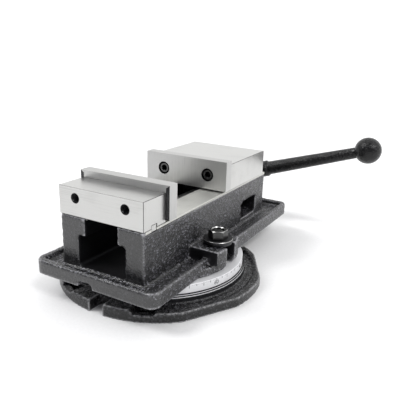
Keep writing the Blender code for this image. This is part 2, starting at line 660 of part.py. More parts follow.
def make_bearing(steel, brass):
    """A ball thrust bearing between the shoulder and the rear wall, and the bush in the wall."""
    centre = (0, SCREW_Z)
    front = BEARING_FRONT
    made = [tube("thrust_race_front", steel, 9.4 * MM, 16.4 * MM, front, front + 2.2 * MM, "Y",
                 centre),
            tube("thrust_race_rear", steel, 9.4 * MM, 16.4 * MM, front + 7.2 * MM,
                 CHANNEL_END - GAP, "Y", centre)]
    cage = tube("thrust_ball_cage", brass, 10 * MM, 16 * MM, front + 3.9 * MM, front + 5.5 * MM, "Y",
                centre)
    for i in range(8):
        angle = math.radians(45 * i)
        spot = (13 * MM * math.cos(angle), SCREW_Z + 13 * MM * math.sin(angle))
        radius = 2.2 * MM
        profile = [(0, front + 4.7 * MM - radius)]
        for a in (-50, 0, 50):
            profile.append((radius * math.cos(math.radians(a)),
                            front + 4.7 * MM + radius * math.sin(math.radians(a))))
        profile.append((0, front + 4.7 * MM + radius))
        join(cage, turned(f"add_ball_{i}", CUTTER, profile, "Y", spot, 9))
    made.append(cage)
    bush = [(9.3 * MM, CHANNEL_END + GAP), (13.0 * MM - GAP, CHANNEL_END + GAP),
            (13.0 * MM - GAP, BODY_REAR + 0.3 * MM), (16 * MM, BODY_REAR + 0.3 * MM),
            (16 * MM, BODY_REAR + 2.3 * MM), (9.3 * MM, BODY_REAR + 2.3 * MM)]
    made.append(turned("screw_bush", brass, bush, "Y", centre))
    return made


def make_collar(steel, black):
    """The collar behind the wall that keeps the screw from moving forwards, and its set screw."""
    front = BODY_REAR + 2.3 * MM + GAP
    rear = front + 12 * MM
    bevel = MM
    profile = [(9.3 * MM, front), (17 * MM - bevel, front), (17 * MM, front + bevel),
               (17 * MM, rear - bevel), (17 * MM - bevel, rear), (9.3 * MM, rear)]
    collar = turned("screw_collar", steel, profile, "Y", (0, SCREW_Z))
    middle = (0.0, (front + rear) / 2)
    cut(collar, rod("cut_collar_hole", CUTTER, 3.3 * MM, SCREW_Z + 7 * MM, SCREW_Z + 19 * MM,
                    centre=middle, steps=16))
    pin = [(0, SCREW_Z + JOURNAL_RADIUS + GAP), (2.2 * MM, SCREW_Z + JOURNAL_RADIUS + GAP),
           (3 * MM, SCREW_Z + JOURNAL_RADIUS + 1.2 * MM), (3 * MM, SCREW_Z + 16 * MM),
           (0, SCREW_Z + 16 * MM)]
    set_screw = turned("collar_set_screw", black, pin, centre=middle, steps=16)
    cut(set_screw, prism("cut_collar_socket", CUTTER, hexagon(3 * MM, middle), SCREW_Z + 13 * MM,
                         SCREW_Z + 17 * MM))
    return [collar, set_screw]


# ---------------------------------------------------------------- crank

def make_crank(paint):
    """The crank: a hub that slips on the hexagon, a boss, and a tapered round arm."""
    crank = turned("crank_handle", paint, hub_profile(), "Y", (0, SCREW_Z), 30)
    arm = [(0, 4 * MM), (9 * MM, 4 * MM), (11 * MM, 17 * MM), (11 * MM, 29 * MM),
           (9.2 * MM, 30.5 * MM), (6.9 * MM, CRANK_LENGTH - 13 * MM), (4 * MM, CRANK_LENGTH - 12 * MM),
           (4 * MM, CRANK_LENGTH), (0, CRANK_LENGTH)]
    join(crank, along_arm(turned("add_arm", CUTTER, arm, steps=24)))
    cut(crank, prism("cut_hub_hexagon", CUTTER, hexagon(HEX_FLATS + 2 * GAP, (0, SCREW_Z), 30),
                     HUB_FRONT - MM, HUB_REAR + MM, "Y"))
    return crank


def hub_profile():
    bevel = 2 * MM
    return [(0, HUB_FRONT), (HUB_RADIUS - bevel, HUB_FRONT), (HUB_RADIUS, HUB_FRONT + bevel),
            (HUB_RADIUS, HUB_REAR - bevel), (HUB_RADIUS - bevel, HUB_REAR), (0, HUB_REAR)]


def along_arm(obj):
    """Lays a shape made along +Z from the origin along the crank's arm."""
    lie = Matrix.Rotation(math.pi / 2 - CRANK_RISE, 4, "Y")
    obj.data.transform(Matrix.Translation((0, CRANK_Y, SCREW_Z)) @ lie)
    return obj


def make_ball(paint):
    """The ball knob, bored to go over the arm's thin end."""
    profile = [(0, CRANK_LENGTH - BALL_RADIUS)]
    for a in range(-75, 90, 15):
        profile.append((BALL_RADIUS * math.cos(math.radians(a)),
                        CRANK_LENGTH + BALL_RADIUS * math.sin(math.radians(a))))
    profile.append((0, CRANK_LENGTH + BALL_RADIUS))
    ball = along_arm(turned("crank_ball", paint, profile))
    bore = [(0, CRANK_LENGTH - BALL_RADIUS - 2 * MM), (7.4 * MM, CRANK_LENGTH - BALL_RADIUS - 2 * MM),
            (7.4 * MM, CRANK_LENGTH - 12.7 * MM), (4 * MM + GAP, CRANK_LENGTH - 11.7 * MM),
            (4 * MM + GAP, CRANK_LENGTH + MM), (0, CRANK_LENGTH + MM)]
    cut(ball, along_arm(turned("cut_ball_bore", CUTTER, bore, steps=20)))
    return ball


# ---------------------------------------------------------------- assembly

def main():
    clear_scene()
    paint = make_material("black_cast_paint", (0.02, 0.02, 0.022), 0.0, 0.5)
    steel = make_material("ground_steel", (0.62, 0.62, 0.6), 1.0, 0.3)
    turned_steel = make_material("turned_steel", (0.55, 0.55, 0.54), 1.0, 0.35)
    dark_steel = make_material("dark_steel", (0.12, 0.12, 0.12), 1.0, 0.45)
    black_oxide = make_material("black_oxide", (0.02, 0.02, 0.02), 0.6, 0.4)
    brass = make_material("bearing_bronze", (0.55, 0.38, 0.14), 1.0, 0.35)
    iron = make_material("bare_iron", (0.2, 0.2, 0.2), 1.0, 0.5)

    make_base(paint)
    make_pivot(turned_steel)

    swivel = make_axis("axis_swivel", (0, 0, 0))
    body = [make_body(paint)]
    body += make_clamps(turned_steel, dark_steel)
    body += make_fixed_jaw(steel, black_oxide)
    body += make_bearing(turned_steel, brass)
    put_on_axis(swivel, body)

    slide = make_axis("axis_jaw_slide", (0, MOVING_FACE, BED_TOP))
    put_on_axis(slide, make_moving_jaw(steel, black_oxide, turned_steel, iron))

    turning = make_axis("axis_screw", (0, BODY_REAR, SCREW_Z))
    put_on_axis(turning, [make_screw(turned_steel)] + make_collar(turned_steel, black_oxide))

    handle = make_axis("axis_crank", (0, CRANK_Y, SCREW_Z))
    put_on_axis(handle, [make_crank(paint), make_ball(paint)])


main()
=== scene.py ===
# %% [markdown]
# # The looks of a milling vise on a swivel base
#
# The working model is loaded first and stays a fixed frame: it says where every part is and what moves
# with what. This script makes the surfaces round it: rough sand castings, ground and turned steel, a
# graduated ring, and the small hardware. Sizes are in millimetres, and one factor turns them to metres.

# %% Load the frame
import math
from functools import partial

import bmesh
import bpy
import numpy as np
from mathutils import Matrix, Vector, noise


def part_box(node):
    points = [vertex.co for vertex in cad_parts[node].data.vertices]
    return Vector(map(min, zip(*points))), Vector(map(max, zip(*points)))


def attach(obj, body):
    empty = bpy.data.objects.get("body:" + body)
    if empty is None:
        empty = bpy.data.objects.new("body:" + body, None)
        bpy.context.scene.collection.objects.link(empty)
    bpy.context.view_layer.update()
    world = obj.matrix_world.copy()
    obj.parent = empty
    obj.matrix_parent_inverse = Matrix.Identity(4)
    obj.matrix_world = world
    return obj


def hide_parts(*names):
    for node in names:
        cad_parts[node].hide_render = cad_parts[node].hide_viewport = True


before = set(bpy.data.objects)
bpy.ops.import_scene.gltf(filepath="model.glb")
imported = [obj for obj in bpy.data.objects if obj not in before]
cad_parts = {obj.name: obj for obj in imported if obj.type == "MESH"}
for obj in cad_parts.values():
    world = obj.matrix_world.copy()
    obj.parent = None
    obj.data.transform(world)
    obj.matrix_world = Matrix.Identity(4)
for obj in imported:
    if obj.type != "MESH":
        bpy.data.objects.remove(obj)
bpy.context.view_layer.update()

MM = 0.001

# %% [markdown]
# ## Sizes
#
# The frame knows every node's box, so the places come from there. Only what a box can't say is a number
# here: the depth of the tray, the steps of the base and the widths of the slots.

# %% Sizes from the frame


def edges(node):
    """A node's box in millimetres: x0, x1, y0, y1, z0, z1."""
    low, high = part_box(node)
    return [value / MM for pair in zip(low, high) for value in pair]


def middle(node):
    """The middle of a node's box, in millimetres."""
    low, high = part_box(node)
    return (low + high) / 2 / MM


def both(node):
    """The names of a node that comes in a left and a right one."""
    return [f"{node}_left", f"{node}_right"]


GAP = 0.3
_, _, FLANGE_FRONT, FLANGE_REAR, BODY_FLOOR, BED_TOP = edges("body_casting")
_, BLOCK_HALF, BLOCK_FRONT, BLOCK_REAR, BLOCK_LOW, BLOCK_TOP = edges("fixed_jaw_block")
_, PLATE_HALF, PLATE_FRONT, FIXED_FACE, PLATE_LOW, PLATE_TOP = edges("fixed_jaw_plate")
_, _, MOVING_FACE, MOVING_PLATE_REAR, _, _ = edges("moving_jaw_plate")
_, SLIDE_HALF, SLIDE_FRONT, SLIDE_REAR, _, SLIDE_TOP = edges("moving_jaw_block")
_, BASE_RADIUS, _, _, _, RING_TOP = edges("swivel_base")
BODY_REAR = edges("screw_collar")[2] - 2.3 - GAP
SCREW_Z = middle("screw_collar").z

BASE_FLAT, RIM_TOP, RIM_LOW, SHELF_TOP = 103.5, 10.0, 7.5, 9.0
GROOVE_INNER, GROOVE_OUTER, GROOVE_FLOOR = 97.0, 99.5, 7.0
FOOT_RADIUS, FOOT_TOP, RING_RADIUS, EAR_TOP, EAR_WIDTH = 89.5, 15.2, 86.5, 12.0, 33.0
BASE_SLOT_HALF, BASE_SLOT_END = 7.8, 96.0
T_SLOT_RADIUS, T_SLOT_NECK, T_SLOT_HALF, T_SLOT_FLOOR, T_SLOT_ROOF = 66.0, 6.8, 11.2, 8.0, 18.5
FLANGE_HALF, FLANGE_TOP, FLANGE_CORNER, TRAY_FLOOR, TRAY_RIM = 69.0, 40.5, 10.0, 35.0, 6.0
PAD_RADIUS, PAD_TOP = 79.6, 34.0
LUG_REACH, LUG_TOP, LUG_Y, LUG_HALF, LUG_SLOT_HALF = 82.0, 48.0, 2.0, 24.5, 9.0
CHANNEL_HALF, NECK_HALF, CHANNEL_FLOOR, CHANNEL_ROOF, CHANNEL_END = 26.5, 18.3, 37.0, 67.0, 137.0
MACHINED = 2.2
print("ring top", round(RING_TOP, 2), "bed top", round(BED_TOP, 2), "screw height", round(SCREW_Z, 2))

# %% [markdown]
# ## Shapes from outlines
#
# A vise is made on a mill and a lathe, so two helpers make nearly all of it: an outline pushed along an
# axis, and a profile spun round an axis. Holes and slots are Boolean cuts, as they are in the shop.

# %% Outlines


def arc(centre, radius, start, end, steps):
    points = []
    for i in range(steps + 1):
        angle = math.radians(start + (end - start) * i / steps)
        points.append((centre[0] + radius * math.cos(angle), centre[1] + radius * math.sin(angle)))
    return points


def rectangle(u0, u1, v0, v1):
    return [(u0, v0), (u1, v0), (u1, v1), (u0, v1)]


def rounded(u0, u1, v0, v1, radius, steps=10):
    return (arc((u1 - radius, v0 + radius), radius, -90, 0, steps)
            + arc((u1 - radius, v1 - radius), radius, 0, 90, steps)
            + arc((u0 + radius, v1 - radius), radius, 90, 180, steps)
            + arc((u0 + radius, v0 + radius), radius, 180, 270, steps))


def hexagon(flats, centre=(0.0, 0.0), turn=0.0):
    return arc(centre, flats / math.sqrt(3.0), turn, turn + 300, 5)


# %% Solids

AXES = {"X": Matrix(((0, 0, 1), (1, 0, 0), (0, 1, 0))), "Y": Matrix(((1, 0, 0), (0, 0, 1), (0, 1, 0))),
        "Z": Matrix.Identity(3)}


def new_object(name, data):
    obj = bpy.data.objects.new(name, data)
    bpy.context.scene.collection.objects.link(obj)
    return obj


def add_object(name, work):
    """A mesh drawn in millimetres becomes an object in metres, with its faces outwards."""
    bmesh.ops.recalc_face_normals(work, faces=work.faces)
    work.transform(Matrix.Scale(MM, 4))
    mesh = bpy.data.meshes.new(name)
    work.to_mesh(mesh)
    work.free()
    mesh.shade_smooth()
    return new_object(name, mesh)


def prism(outline, low, high, axis="Z", name="tool"):
    """Pushes an outline from low to high: (x, y) along Z, (x, z) along Y, (y, z) along X."""
    work = bmesh.new()
    face = work.faces.new([work.verts.new(AXES[axis] @ Vector((u, v, low))) for u, v in outline])
    grown = bmesh.ops.extrude_face_region(work, geom=[face])["geom"]
    moved = [item for item in grown if isinstance(item, bmesh.types.BMVert)]
    bmesh.ops.translate(work, verts=moved, vec=AXES[axis] @ Vector((0, 0, high - low)))
    return add_object(name, work)


def turned(profile, axis="Z", centre=(0.0, 0.0), steps=64, name="tool"):
    """Spins a closed profile of (radius, height) points about an axis through centre."""
    work = bmesh.new()
    rings = []
    for radius, height in profile:
        spots = arc(centre, radius, 0, 360, steps)[:-1] if radius > 1e-6 else [centre]
        rings.append([work.verts.new(AXES[axis] @ Vector((u, v, height))) for u, v in spots])
    for first, second in zip(rings, rings[1:] + rings[:1]):
        for i in range(steps):
            corners = [first[i % len(first)], first[(i + 1) % len(first)],
                       second[(i + 1) % len(second)], second[i % len(second)]]
            corners = list(dict.fromkeys(corners))
            if len(corners) > 2:
                work.faces.new(corners)
    return add_object(name, work)


def rod(radius, low, high, axis="Z", centre=(0.0, 0.0), steps=64):
    """A plain round bar: what a drill takes away, or what a lathe leaves."""
    return turned([(0, low), (radius, low), (radius, high), (0, high)], axis, centre, steps)


def plain_mesh(obj):
    """What an object looks like with its modifiers, as a mesh of its own."""
    bpy.context.view_layer.update()
    graph = bpy.context.evaluated_depsgraph_get()
    return bpy.data.meshes.new_from_object(obj.evaluated_get(graph), depsgraph=graph)


def settle(obj):
    """Makes an object's modifiers part of its mesh."""
    mesh = plain_mesh(obj)
    obj.modifiers.clear()
    obj.data = mesh
    return obj


def carve(obj, operation, *tools):
    for tool in tools:
        modifier = obj.modifiers.new(tool.name, "BOOLEAN")
        modifier.operation = operation
        modifier.object = tool
    settle(obj)
    for tool in tools:
        bpy.data.objects.remove(tool)
    return obj


def break_edges(obj, width, segments=2):
    """Takes the burr off machined edges: a small round edge is what catches the light."""
    bevel = obj.modifiers.new("broken edges", "BEVEL")
    bevel.width = width * MM
    bevel.segments = segments
    bevel.limit_method = "ANGLE"
    bevel.angle_limit = math.radians(40)
    bevel.harden_normals = True
    settle(obj)
    print(obj.name, "has", len(obj.data.polygons), "faces after its edges were broken")
    return obj


def crisp(obj, angle=30):
    """Shades a turned piece smooth, apart from its real edges."""
    obj.data.shade_smooth()
    obj.data.set_sharp_from_angle(angle=math.radians(angle))
    return obj


# %% [markdown]
# ## Materials
#
# Colours are given the way a paint chart gives them, as sRGB hex, and turned to linear light once. One
# function adds any node: it sets the node up, feeds its inputs and returns its outputs. Patterns read
# Object coordinates, which are metres here, so a scale is one over a real size.

# %% Node and colour helpers
MATH, VECTOR, COMBINE = "ShaderNodeMath", "ShaderNodeVectorMath", "ShaderNodeCombineXYZ"
NOISE, RANGE, RAMP = "ShaderNodeTexNoise", "ShaderNodeMapRange", "ShaderNodeValToRGB"
MIX, BUMP, MAPPING = "ShaderNodeMix", "ShaderNodeBump", "ShaderNodeMapping"


def linear(code):
    """An sRGB hex colour as linear red, green, blue and alpha."""
    channels = []
    for i in (0, 2, 4):
        value = int(code[i:i + 2], 16) / 255
        channels.append(value / 12.92 if value <= 0.04045 else ((value + 0.055) / 1.055) ** 2.4)
    return (*channels, 1.0)


def set_inputs(node, inputs):
    """Inputs go by name or in order. Each is given a value, or the output socket that feeds it."""
    for key, value in inputs.items() if isinstance(inputs, dict) else enumerate(inputs):
        if isinstance(value, bpy.types.NodeSocket):
            node.id_data.links.new(value, node.inputs[key])
        else:
            node.inputs[key].default_value = value


def add_node(tree, kind, inputs=(), stops=(), **settings):
    """Adds a node and returns its outputs. Stops are a ramp's pairs of position and hex colour."""
    node = tree.nodes.new(kind)
    for key, value in settings.items():
        setattr(node, key, value)
    set_inputs(node, inputs)
    if stops:
        for element, (position, code) in zip(node.color_ramp.elements, stops):
            element.position, element.color = position, linear(code)
    return node.outputs


def start_material(name):
    """A new material, a function that adds its nodes, its shader, and Object coordinates."""
    material = bpy.data.materials.new(name)
    material.use_nodes = True
    add = partial(add_node, material.node_tree)
    return (material, add, material.node_tree.nodes["Principled BSDF"],
            add("ShaderNodeTexCoord")["Object"])


def per_mm(*sizes):
    """How often a pattern of these sizes in millimetres repeats in a metre."""
    return [1 / (size * MM) for size in sizes]


# %% [markdown]
# ### Paint on a sand casting
#
# Sand leaves grey iron with a skin like orange peel, two or three millimetres from lump to lump, and one
# coat of black enamel keeps it. The lumps themselves are in the mesh. Here a finer grain is added as
# bump, the tops of the lumps are painted a lighter grey, and the gloss varies with them. That grey is
# partly rubbing and partly a painted highlight, standing for the glints that the gloss gives the lumps.
# An attribute called roughcast says how raw a face is: fettled faces are smoother and get less of the
# painted glints. Another, called corner, says where an edge stands out, because that is where handling
# rubs the enamel through.

# %% Cast paint


def cast_paint(name, low, high, glint_grey, worn_edge, grain=1.15, gloss=0.85):
    material, add, shader, place = start_material(name)
    relief, raw, corner = [add("ShaderNodeAttribute", attribute_name=kept)["Fac"]
                           for kept in ("relief", "roughcast", "corner")]
    pebbles = add("ShaderNodeTexVoronoi", {"Vector": place, "Scale": 1 / (2 * grain * MM)},
                  feature="SMOOTH_F1")["Distance"]
    fine, cloud, scuffs = [add(NOISE, {"Vector": place, "Scale": 1 / (size * MM), "Detail": detail})["Fac"]
                           for size, detail in ((grain, 3), (24, 2), (2.5, 3))]
    pebble = add(MATH, (1, pebbles), operation="SUBTRACT")[0]
    height = add(MATH, (pebble, fine), operation="MULTIPLY")[0]
    tops = add(MATH, (height, relief, height), operation="MULTIPLY_ADD")[0]
    # Painted highlight: the lump tops turn lighter grey for the glints of the gloss, with a little rubbing.
    glints_and_rubbing = add(MATH, (add(RANGE, (tops, 0.53, 0.63))[0], raw), operation="MULTIPLY")[0]
    bare = add(MATH, (add(RANGE, (scuffs, 0.28, 0.58))[0], corner), operation="MULTIPLY")[0]
    colour = add(RAMP, (cloud,), ((0.3, low), (0.7, high)))["Color"]
    for share, finish in ((glints_and_rubbing, glint_grey), (bare, worn_edge)):
        colour = add(MIX, {"Factor": share, "A": colour, "B": linear(finish)}, data_type="RGBA")["Result"]
    strength = add(RANGE, (raw, 0, 1, 0.2, 1))[0]
    bump = add(BUMP, {"Height": height, "Strength": strength, "Distance": 1.4 * MM})[0]
    set_inputs(shader, {"Base Color": colour, "Roughness": add(RANGE, (fine, 0, 1, 0.18, 0.4))[0],
                        "IOR": 1.55, "Specular IOR Level": gloss, "Normal": bump})
    return material


body_paint = cast_paint("black enamel on sand-cast iron", "09090b", "131316", "74747b", "b4b4b8")
base_paint = cast_paint("black enamel on the swivel base", "070708", "0e0e10", "5c5c60", "a8a8aa",
                        gloss=0.5)
crank_paint = cast_paint("black enamel on forged steel", "080809", "0e0e0f", "242425", "303031",
                         gloss=0.3)
print("paints:", body_paint.name, "/", base_paint.name, "/", crank_paint.name)

# %% [markdown]
# ### Ground, turned and blackened steel
#
# A surface grinder leaves fine straight lines, and a lathe leaves fine rings. Both are far too fine to
# show singly, so the lines here are drawn several times as coarse. They change the gloss more than the
# shape, which is what makes ground steel look silky.

# %% Steel


def metal_finish(add, shader, tone, stops, strokes, depth, cloud, gloss, metal=1.0):
    """What both steels share: the colour and a faint bump follow the strokes, the gloss a cloud."""
    bump = add(BUMP, {"Height": strokes, "Strength": depth[0], "Distance": depth[1] * MM})[0]
    set_inputs(shader, {"Base Color": add(RAMP, (tone,), stops)["Color"],
                        "Roughness": add(RANGE, (cloud, 0, 1, *gloss))[0], "Metallic": metal,
                        "Normal": bump})


def ground_steel(name, dark, bright, lines, gloss=0.3):
    """Straight lines: a noise stretched by a size in millimetres along each axis."""
    material, add, shader, place = start_material(name)
    strokes, cloud = [add(MAPPING, {"Vector": place, "Scale": per_mm(*sizes)})[0]
                      for sizes in (lines, (30, 18, 18))]
    strokes = add(NOISE, {"Vector": strokes, "Scale": 1, "Detail": 4, "Roughness": 0.6})["Fac"]
    cloud = add(NOISE, {"Vector": cloud, "Scale": 1, "Detail": 3})["Fac"]
    tone = add(MATH, (strokes, cloud), operation="ADD")[0]
    tone = add(RANGE, (tone, 0, 1, -0.5, 0.5))[0]
    metal_finish(add, shader, tone, ((0.2, dark), (0.8, bright)), strokes, (0.06, 0.03), cloud,
                 (gloss - 0.05, gloss + 0.05))
    return material


def turned_steel(name, dark, bright, gloss, axis="Z", centre=(0.0, 0.0), ring=0.8, metal=1.0):
    """Rings about an axis: the pattern reads the distance from it and the height along it."""
    material, add, shader, place = start_material(name)
    offset = AXES[axis] @ Vector((-centre[0] * MM, -centre[1] * MM, 0))
    moved = add(VECTOR, (place, offset), operation="ADD")[0]
    across = add(VECTOR, (moved, AXES[axis] @ Vector((1, 1, 0))), operation="MULTIPLY")[0]
    radius = add(VECTOR, (across,), operation="LENGTH")["Value"]
    rings = add(COMBINE, (radius, add("ShaderNodeSeparateXYZ", (moved,))[axis]))[0]
    strokes = add(NOISE, {"Vector": rings, "Scale": 1 / (ring * MM), "Detail": 3})["Fac"]
    cloud = add(NOISE, {"Vector": place, "Scale": 1 / (14 * MM), "Detail": 2})["Fac"]
    metal_finish(add, shader, strokes, ((0.25, dark), (0.75, bright)), strokes, (0.15, 0.05), cloud,
                 (gloss - 0.07, gloss + 0.09), metal)
    return material


jaw_steel = ground_steel("surface-ground tool steel", "bdbdbb", "d4d4d2", (60, 0.9, 0.9))
plate_steel = ground_steel("ground and hardened plate", "b2b2b1", "c9c9c7", (0.9, 0.9, 40), 0.36)
way_steel = ground_steel("ground cast-iron ways", "cacac5", "e0e0db", (0.9, 60, 0.9), 0.5)
# Painted shade: a near-black finish for the channel, the lug hollows, the base's groove and the ring's foot.
painted_shade_black = ground_steel("black painted shade", "2a2a2c", "363638", (2, 20, 2), 0.6)
# A dark steel for broken edges: a painted dark reflection.
edge_steel = ground_steel("painted dark edge reflection", "4a4a4a", "6a6a69", (3, 3, 3))
iron = ground_steel("machined cast iron", "4d4d4f", "68686a", (1.5, 1.5, 20))
ring_steel = turned_steel("satin chrome ring", "ececee", "f4f4f6", 0.5, metal=0.25)
pin_steel = turned_steel("turned pivot pin", "8f8f8e", "bdbdbb", 0.3)
nut_steel = turned_steel("oiled steel nut", "343434", "585857", 0.3, centre=middle("clamp_nut_right")[:2])
dark_steel = turned_steel("dark plain steel", "343435", "545456", 0.36)
oxide = turned_steel("black oxide on alloy steel", "0d0d0e", "29292a", 0.34, "Y")
bright_steel = turned_steel("turned steel", "8f8f8e", "bdbdbb", 0.3, "Y", (0, SCREW_Z))
bronze = turned_steel("bearing bronze", "8a6530", "b08845", 0.33, "Y", (0, SCREW_Z))
print("materials so far:", len(bpy.data.materials))

# %% [markdown]
# ### Lacquer in the marks
#
# The marks on the ring are cut and filled with dark lacquer. They are matt, with a little variation
# where the filling is thin.

# %% Lacquer
lacquer, add, shader, place = start_material("dark lacquer in the graduations")
patches = add(NOISE, {"Vector": place, "Scale": 1 / (1.2 * MM)})["Fac"]
set_inputs(shader, {"Base Color": add(RAMP, (patches,), ((0.3, "1c1c20"), (0.75, "55555b")))["Color"],
                    "Roughness": add(RANGE, (patches, 0, 1, 0.5, 0.8))[0]})
print("made", lacquer.name)

# %% [markdown]
# ## Placing a piece
#
# Every piece moves with one body, stands for the working model's nodes that it replaces, and takes the
# finish it is given.

# %% Place


def place_piece(obj, body, material, slot, *nodes):
    obj.data.materials.clear()
    obj.data.materials.append(material)
    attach(obj, body)
    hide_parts(*nodes)
    print(obj.name, "rides on", body, "with", len(obj.data.polygons), "faces")
    return obj


def shade_where(obj, material, test):
    """Gives a second finish to the faces whose centre, in millimetres, and normal pass a test."""
    obj.data.materials.append(material)
    last = len(obj.data.materials) - 1
    for face in obj.data.polygons:
        if test(face.center / MM, face.normal):
            face.material_index = last


# %% [markdown]
# ## Sand castings
#
# A casting has no sharp edge and no flat face. The shape is first built sharp, then rebuilt as an even
# skin of small squares, which rounds every edge a little, and then each point is pushed along its normal
# by a noise as coarse as the foundry's sand. Faces that carry or guide something stay where they are.

# %% Roughen a casting
LUMP = 4.6
GRIT = 2.3


def cast_skin(obj, voxel, smoothing=2):
    remesh = obj.modifiers.new("even skin", "REMESH")
    remesh.mode = "VOXEL"
    remesh.voxel_size = voxel * MM
    remesh.use_smooth_shade = True
    smooth = obj.modifiers.new("soft edges", "SMOOTH")
    smooth.factor = 0.5
    smooth.iterations = smoothing
    return settle(obj)


def read(items, field, width, kind=float):
    """One field of all of a mesh's points or edges, a row for each."""
    values = np.empty(len(items) * width, dtype=kind)
    items.foreach_get(field, values)
    return values.reshape(-1, width)


def mark_corners(mesh, blunt=0.14, sharp=0.36):
    """Stores where the skin bends outwards, from 0 at a blunt curve to 1 at a sharp one, per mm."""
    count = len(mesh.vertices)
    spots = read(mesh.vertices, "co", 3) / MM
    facing = read(mesh.vertex_normals, "vector", 3)
    first, second = read(mesh.edges, "vertices", 2, np.int64).T
    step = spots[second] - spots[first]
    bend = ((facing[second] - facing[first]) * step).sum(1) / (step * step).sum(1)
    total = np.bincount(first, bend, count) + np.bincount(second, bend, count)
    share = total / np.maximum(np.bincount(first, None, count) + np.bincount(second, None, count), 1)
    corner = mesh.attributes.new("corner", "FLOAT", "POINT")
    corner.data.foreach_set("value", np.clip((share - blunt) / (sharp - blunt), 0.0, 1.0))


def roughen(obj, depth, rawness):
    """Pushes points by up to depth, and keeps two attributes: how high a point is, and how raw."""
    mesh = obj.data
    mark_corners(mesh)
    relief = mesh.attributes.new("relief", "FLOAT", "POINT")
    roughcast = mesh.attributes.new("roughcast", "FLOAT", "POINT")
    normals = [normal.vector.copy() for normal in mesh.vertex_normals]
    for vertex, normal in zip(mesh.vertices, normals):
        point = vertex.co / MM
        raw = rawness(point, normal)
        coarse = noise.noise(point / LUMP)
        grit = noise.noise(point / GRIT + Vector((31.0, 7.0, 3.0)))
        height = 0.5 + 0.5 * (0.6 * coarse + 0.7 * grit)
        relief.data[vertex.index].value = height
        roughcast.data[vertex.index].value = raw
        vertex.co += normal * (depth * MM * raw * (height - 0.55))
    mesh.update()


# %% [markdown]
# ## The swivel base
#
# The base is a round iron casting with two open slots for bolts, raised ears beside them, a groove
# inside the rim and pockets beside the ears. Its middle is machined: a bright ring carries the degree
# scale, with a T-slot in its top for the clamping bolts.

# %% Base casting


def base_outline(steps=180):
    points = []
    for i in range(steps):
        angle = 2 * math.pi * i / steps
        across = max(math.cos(angle - math.radians(flat)) for flat in (-150, -30, 30, 150))
        radius = min(BASE_RADIUS, BASE_FLAT / across) if across > 0 else BASE_RADIUS
        points.append((radius * math.cos(angle), radius * math.sin(angle)))
    return points


def sector(inner, outer, centre, half):
    return (arc((0, 0), outer, centre - half, centre + half, 8)
            + arc((0, 0), inner, centre + half, centre - half, 8))


def bolt_slot(side):
    start = 180 if side > 0 else 0
    far = side * (BASE_RADIUS + 4)
    half = BASE_SLOT_HALF
    return arc((0.0, side * BASE_SLOT_END), half, start, start + 180, 16) + [(side * half, far),
                                                                             (-side * half, far)]


CAST_TOP = FOOT_TOP - 1.2
base = prism(base_outline(), 0, RIM_TOP, name="base_casting")
shelf = [(FOOT_RADIUS - 1, SHELF_TOP), (GROOVE_INNER, SHELF_TOP), (GROOVE_INNER + 0.8, GROOVE_FLOOR),
         (GROOVE_OUTER - 0.6, GROOVE_FLOOR), (GROOVE_OUTER, RIM_TOP + 1), (FOOT_RADIUS - 1, RIM_TOP + 1)]
carve(base, "DIFFERENCE", turned(shelf, steps=120))
for side in (-1, 1):
    reach = math.degrees(math.asin(EAR_WIDTH / BASE_RADIUS))
    ear = (arc((0, 0), BASE_RADIUS - 0.5, 90 * side - reach, 90 * side + reach, 20)
           + arc((0, 0), FOOT_RADIUS - 6, 90 * side + reach, 90 * side - reach, 20))
    carve(base, "UNION", prism(ear, 1, EAR_TOP))
carve(base, "UNION", rod(FOOT_RADIUS - 0.2, 2, CAST_TOP, steps=120))
for angle in (-115, -65, 65, 115):
    carve(base, "DIFFERENCE", prism(sector(FOOT_RADIUS + 2, GROOVE_OUTER + 1, angle, 6), 3.5, 13),
          prism(sector(GROOVE_OUTER, BASE_RADIUS + 2, angle, 5.8), RIM_LOW, 12))
core = turned([(30, 9.5), (84, 9.5), (84, 16), (30, 16)], steps=96)
carve(base, "DIFFERENCE", core, *[prism(bolt_slot(side), -1, 20) for side in (-1, 1)])
cast_skin(base, 1.15)


def base_rawness(point, normal):
    """Raw on the shelf, smoother on the rim, flat underneath and next to the ring."""
    out = point.xy.length
    if point.z < 0.7 or out < FOOT_RADIUS - 2:
        return 0.0
    if out > BASE_FLAT - 1.5 and normal.z < 0.5:
        return 0.35
    return 1.0 if out < GROOVE_OUTER else 0.7


roughen(base, 0.7, base_rawness)
place_piece(base, "base", base_paint, "black_cast_paint", "swivel_base")


def in_base_shade(spot, normal):
    """The ring's foot wall and the bottom of the groove, painted black as painted shade."""
    out = spot.xy.length
    foot = abs(out - FOOT_RADIUS) < 1.2 and spot.z > SHELF_TOP + 0.6 and abs(normal.z) < 0.6
    return foot or GROOVE_INNER < out < GROOVE_OUTER + 0.2 and 3 < spot.z < SHELF_TOP - 0.6


# Painted shade: the groove's bottom and the casting's wall at the ring's foot are painted black.
shade_where(base, painted_shade_black, in_base_shade)

# %% [markdown]
# The ring is one lathe job: the profile runs up the outer wall, round the T-slot and down to the socket
# of the pivot pin. Two fine steps at its foot are the bright double line above the casting.

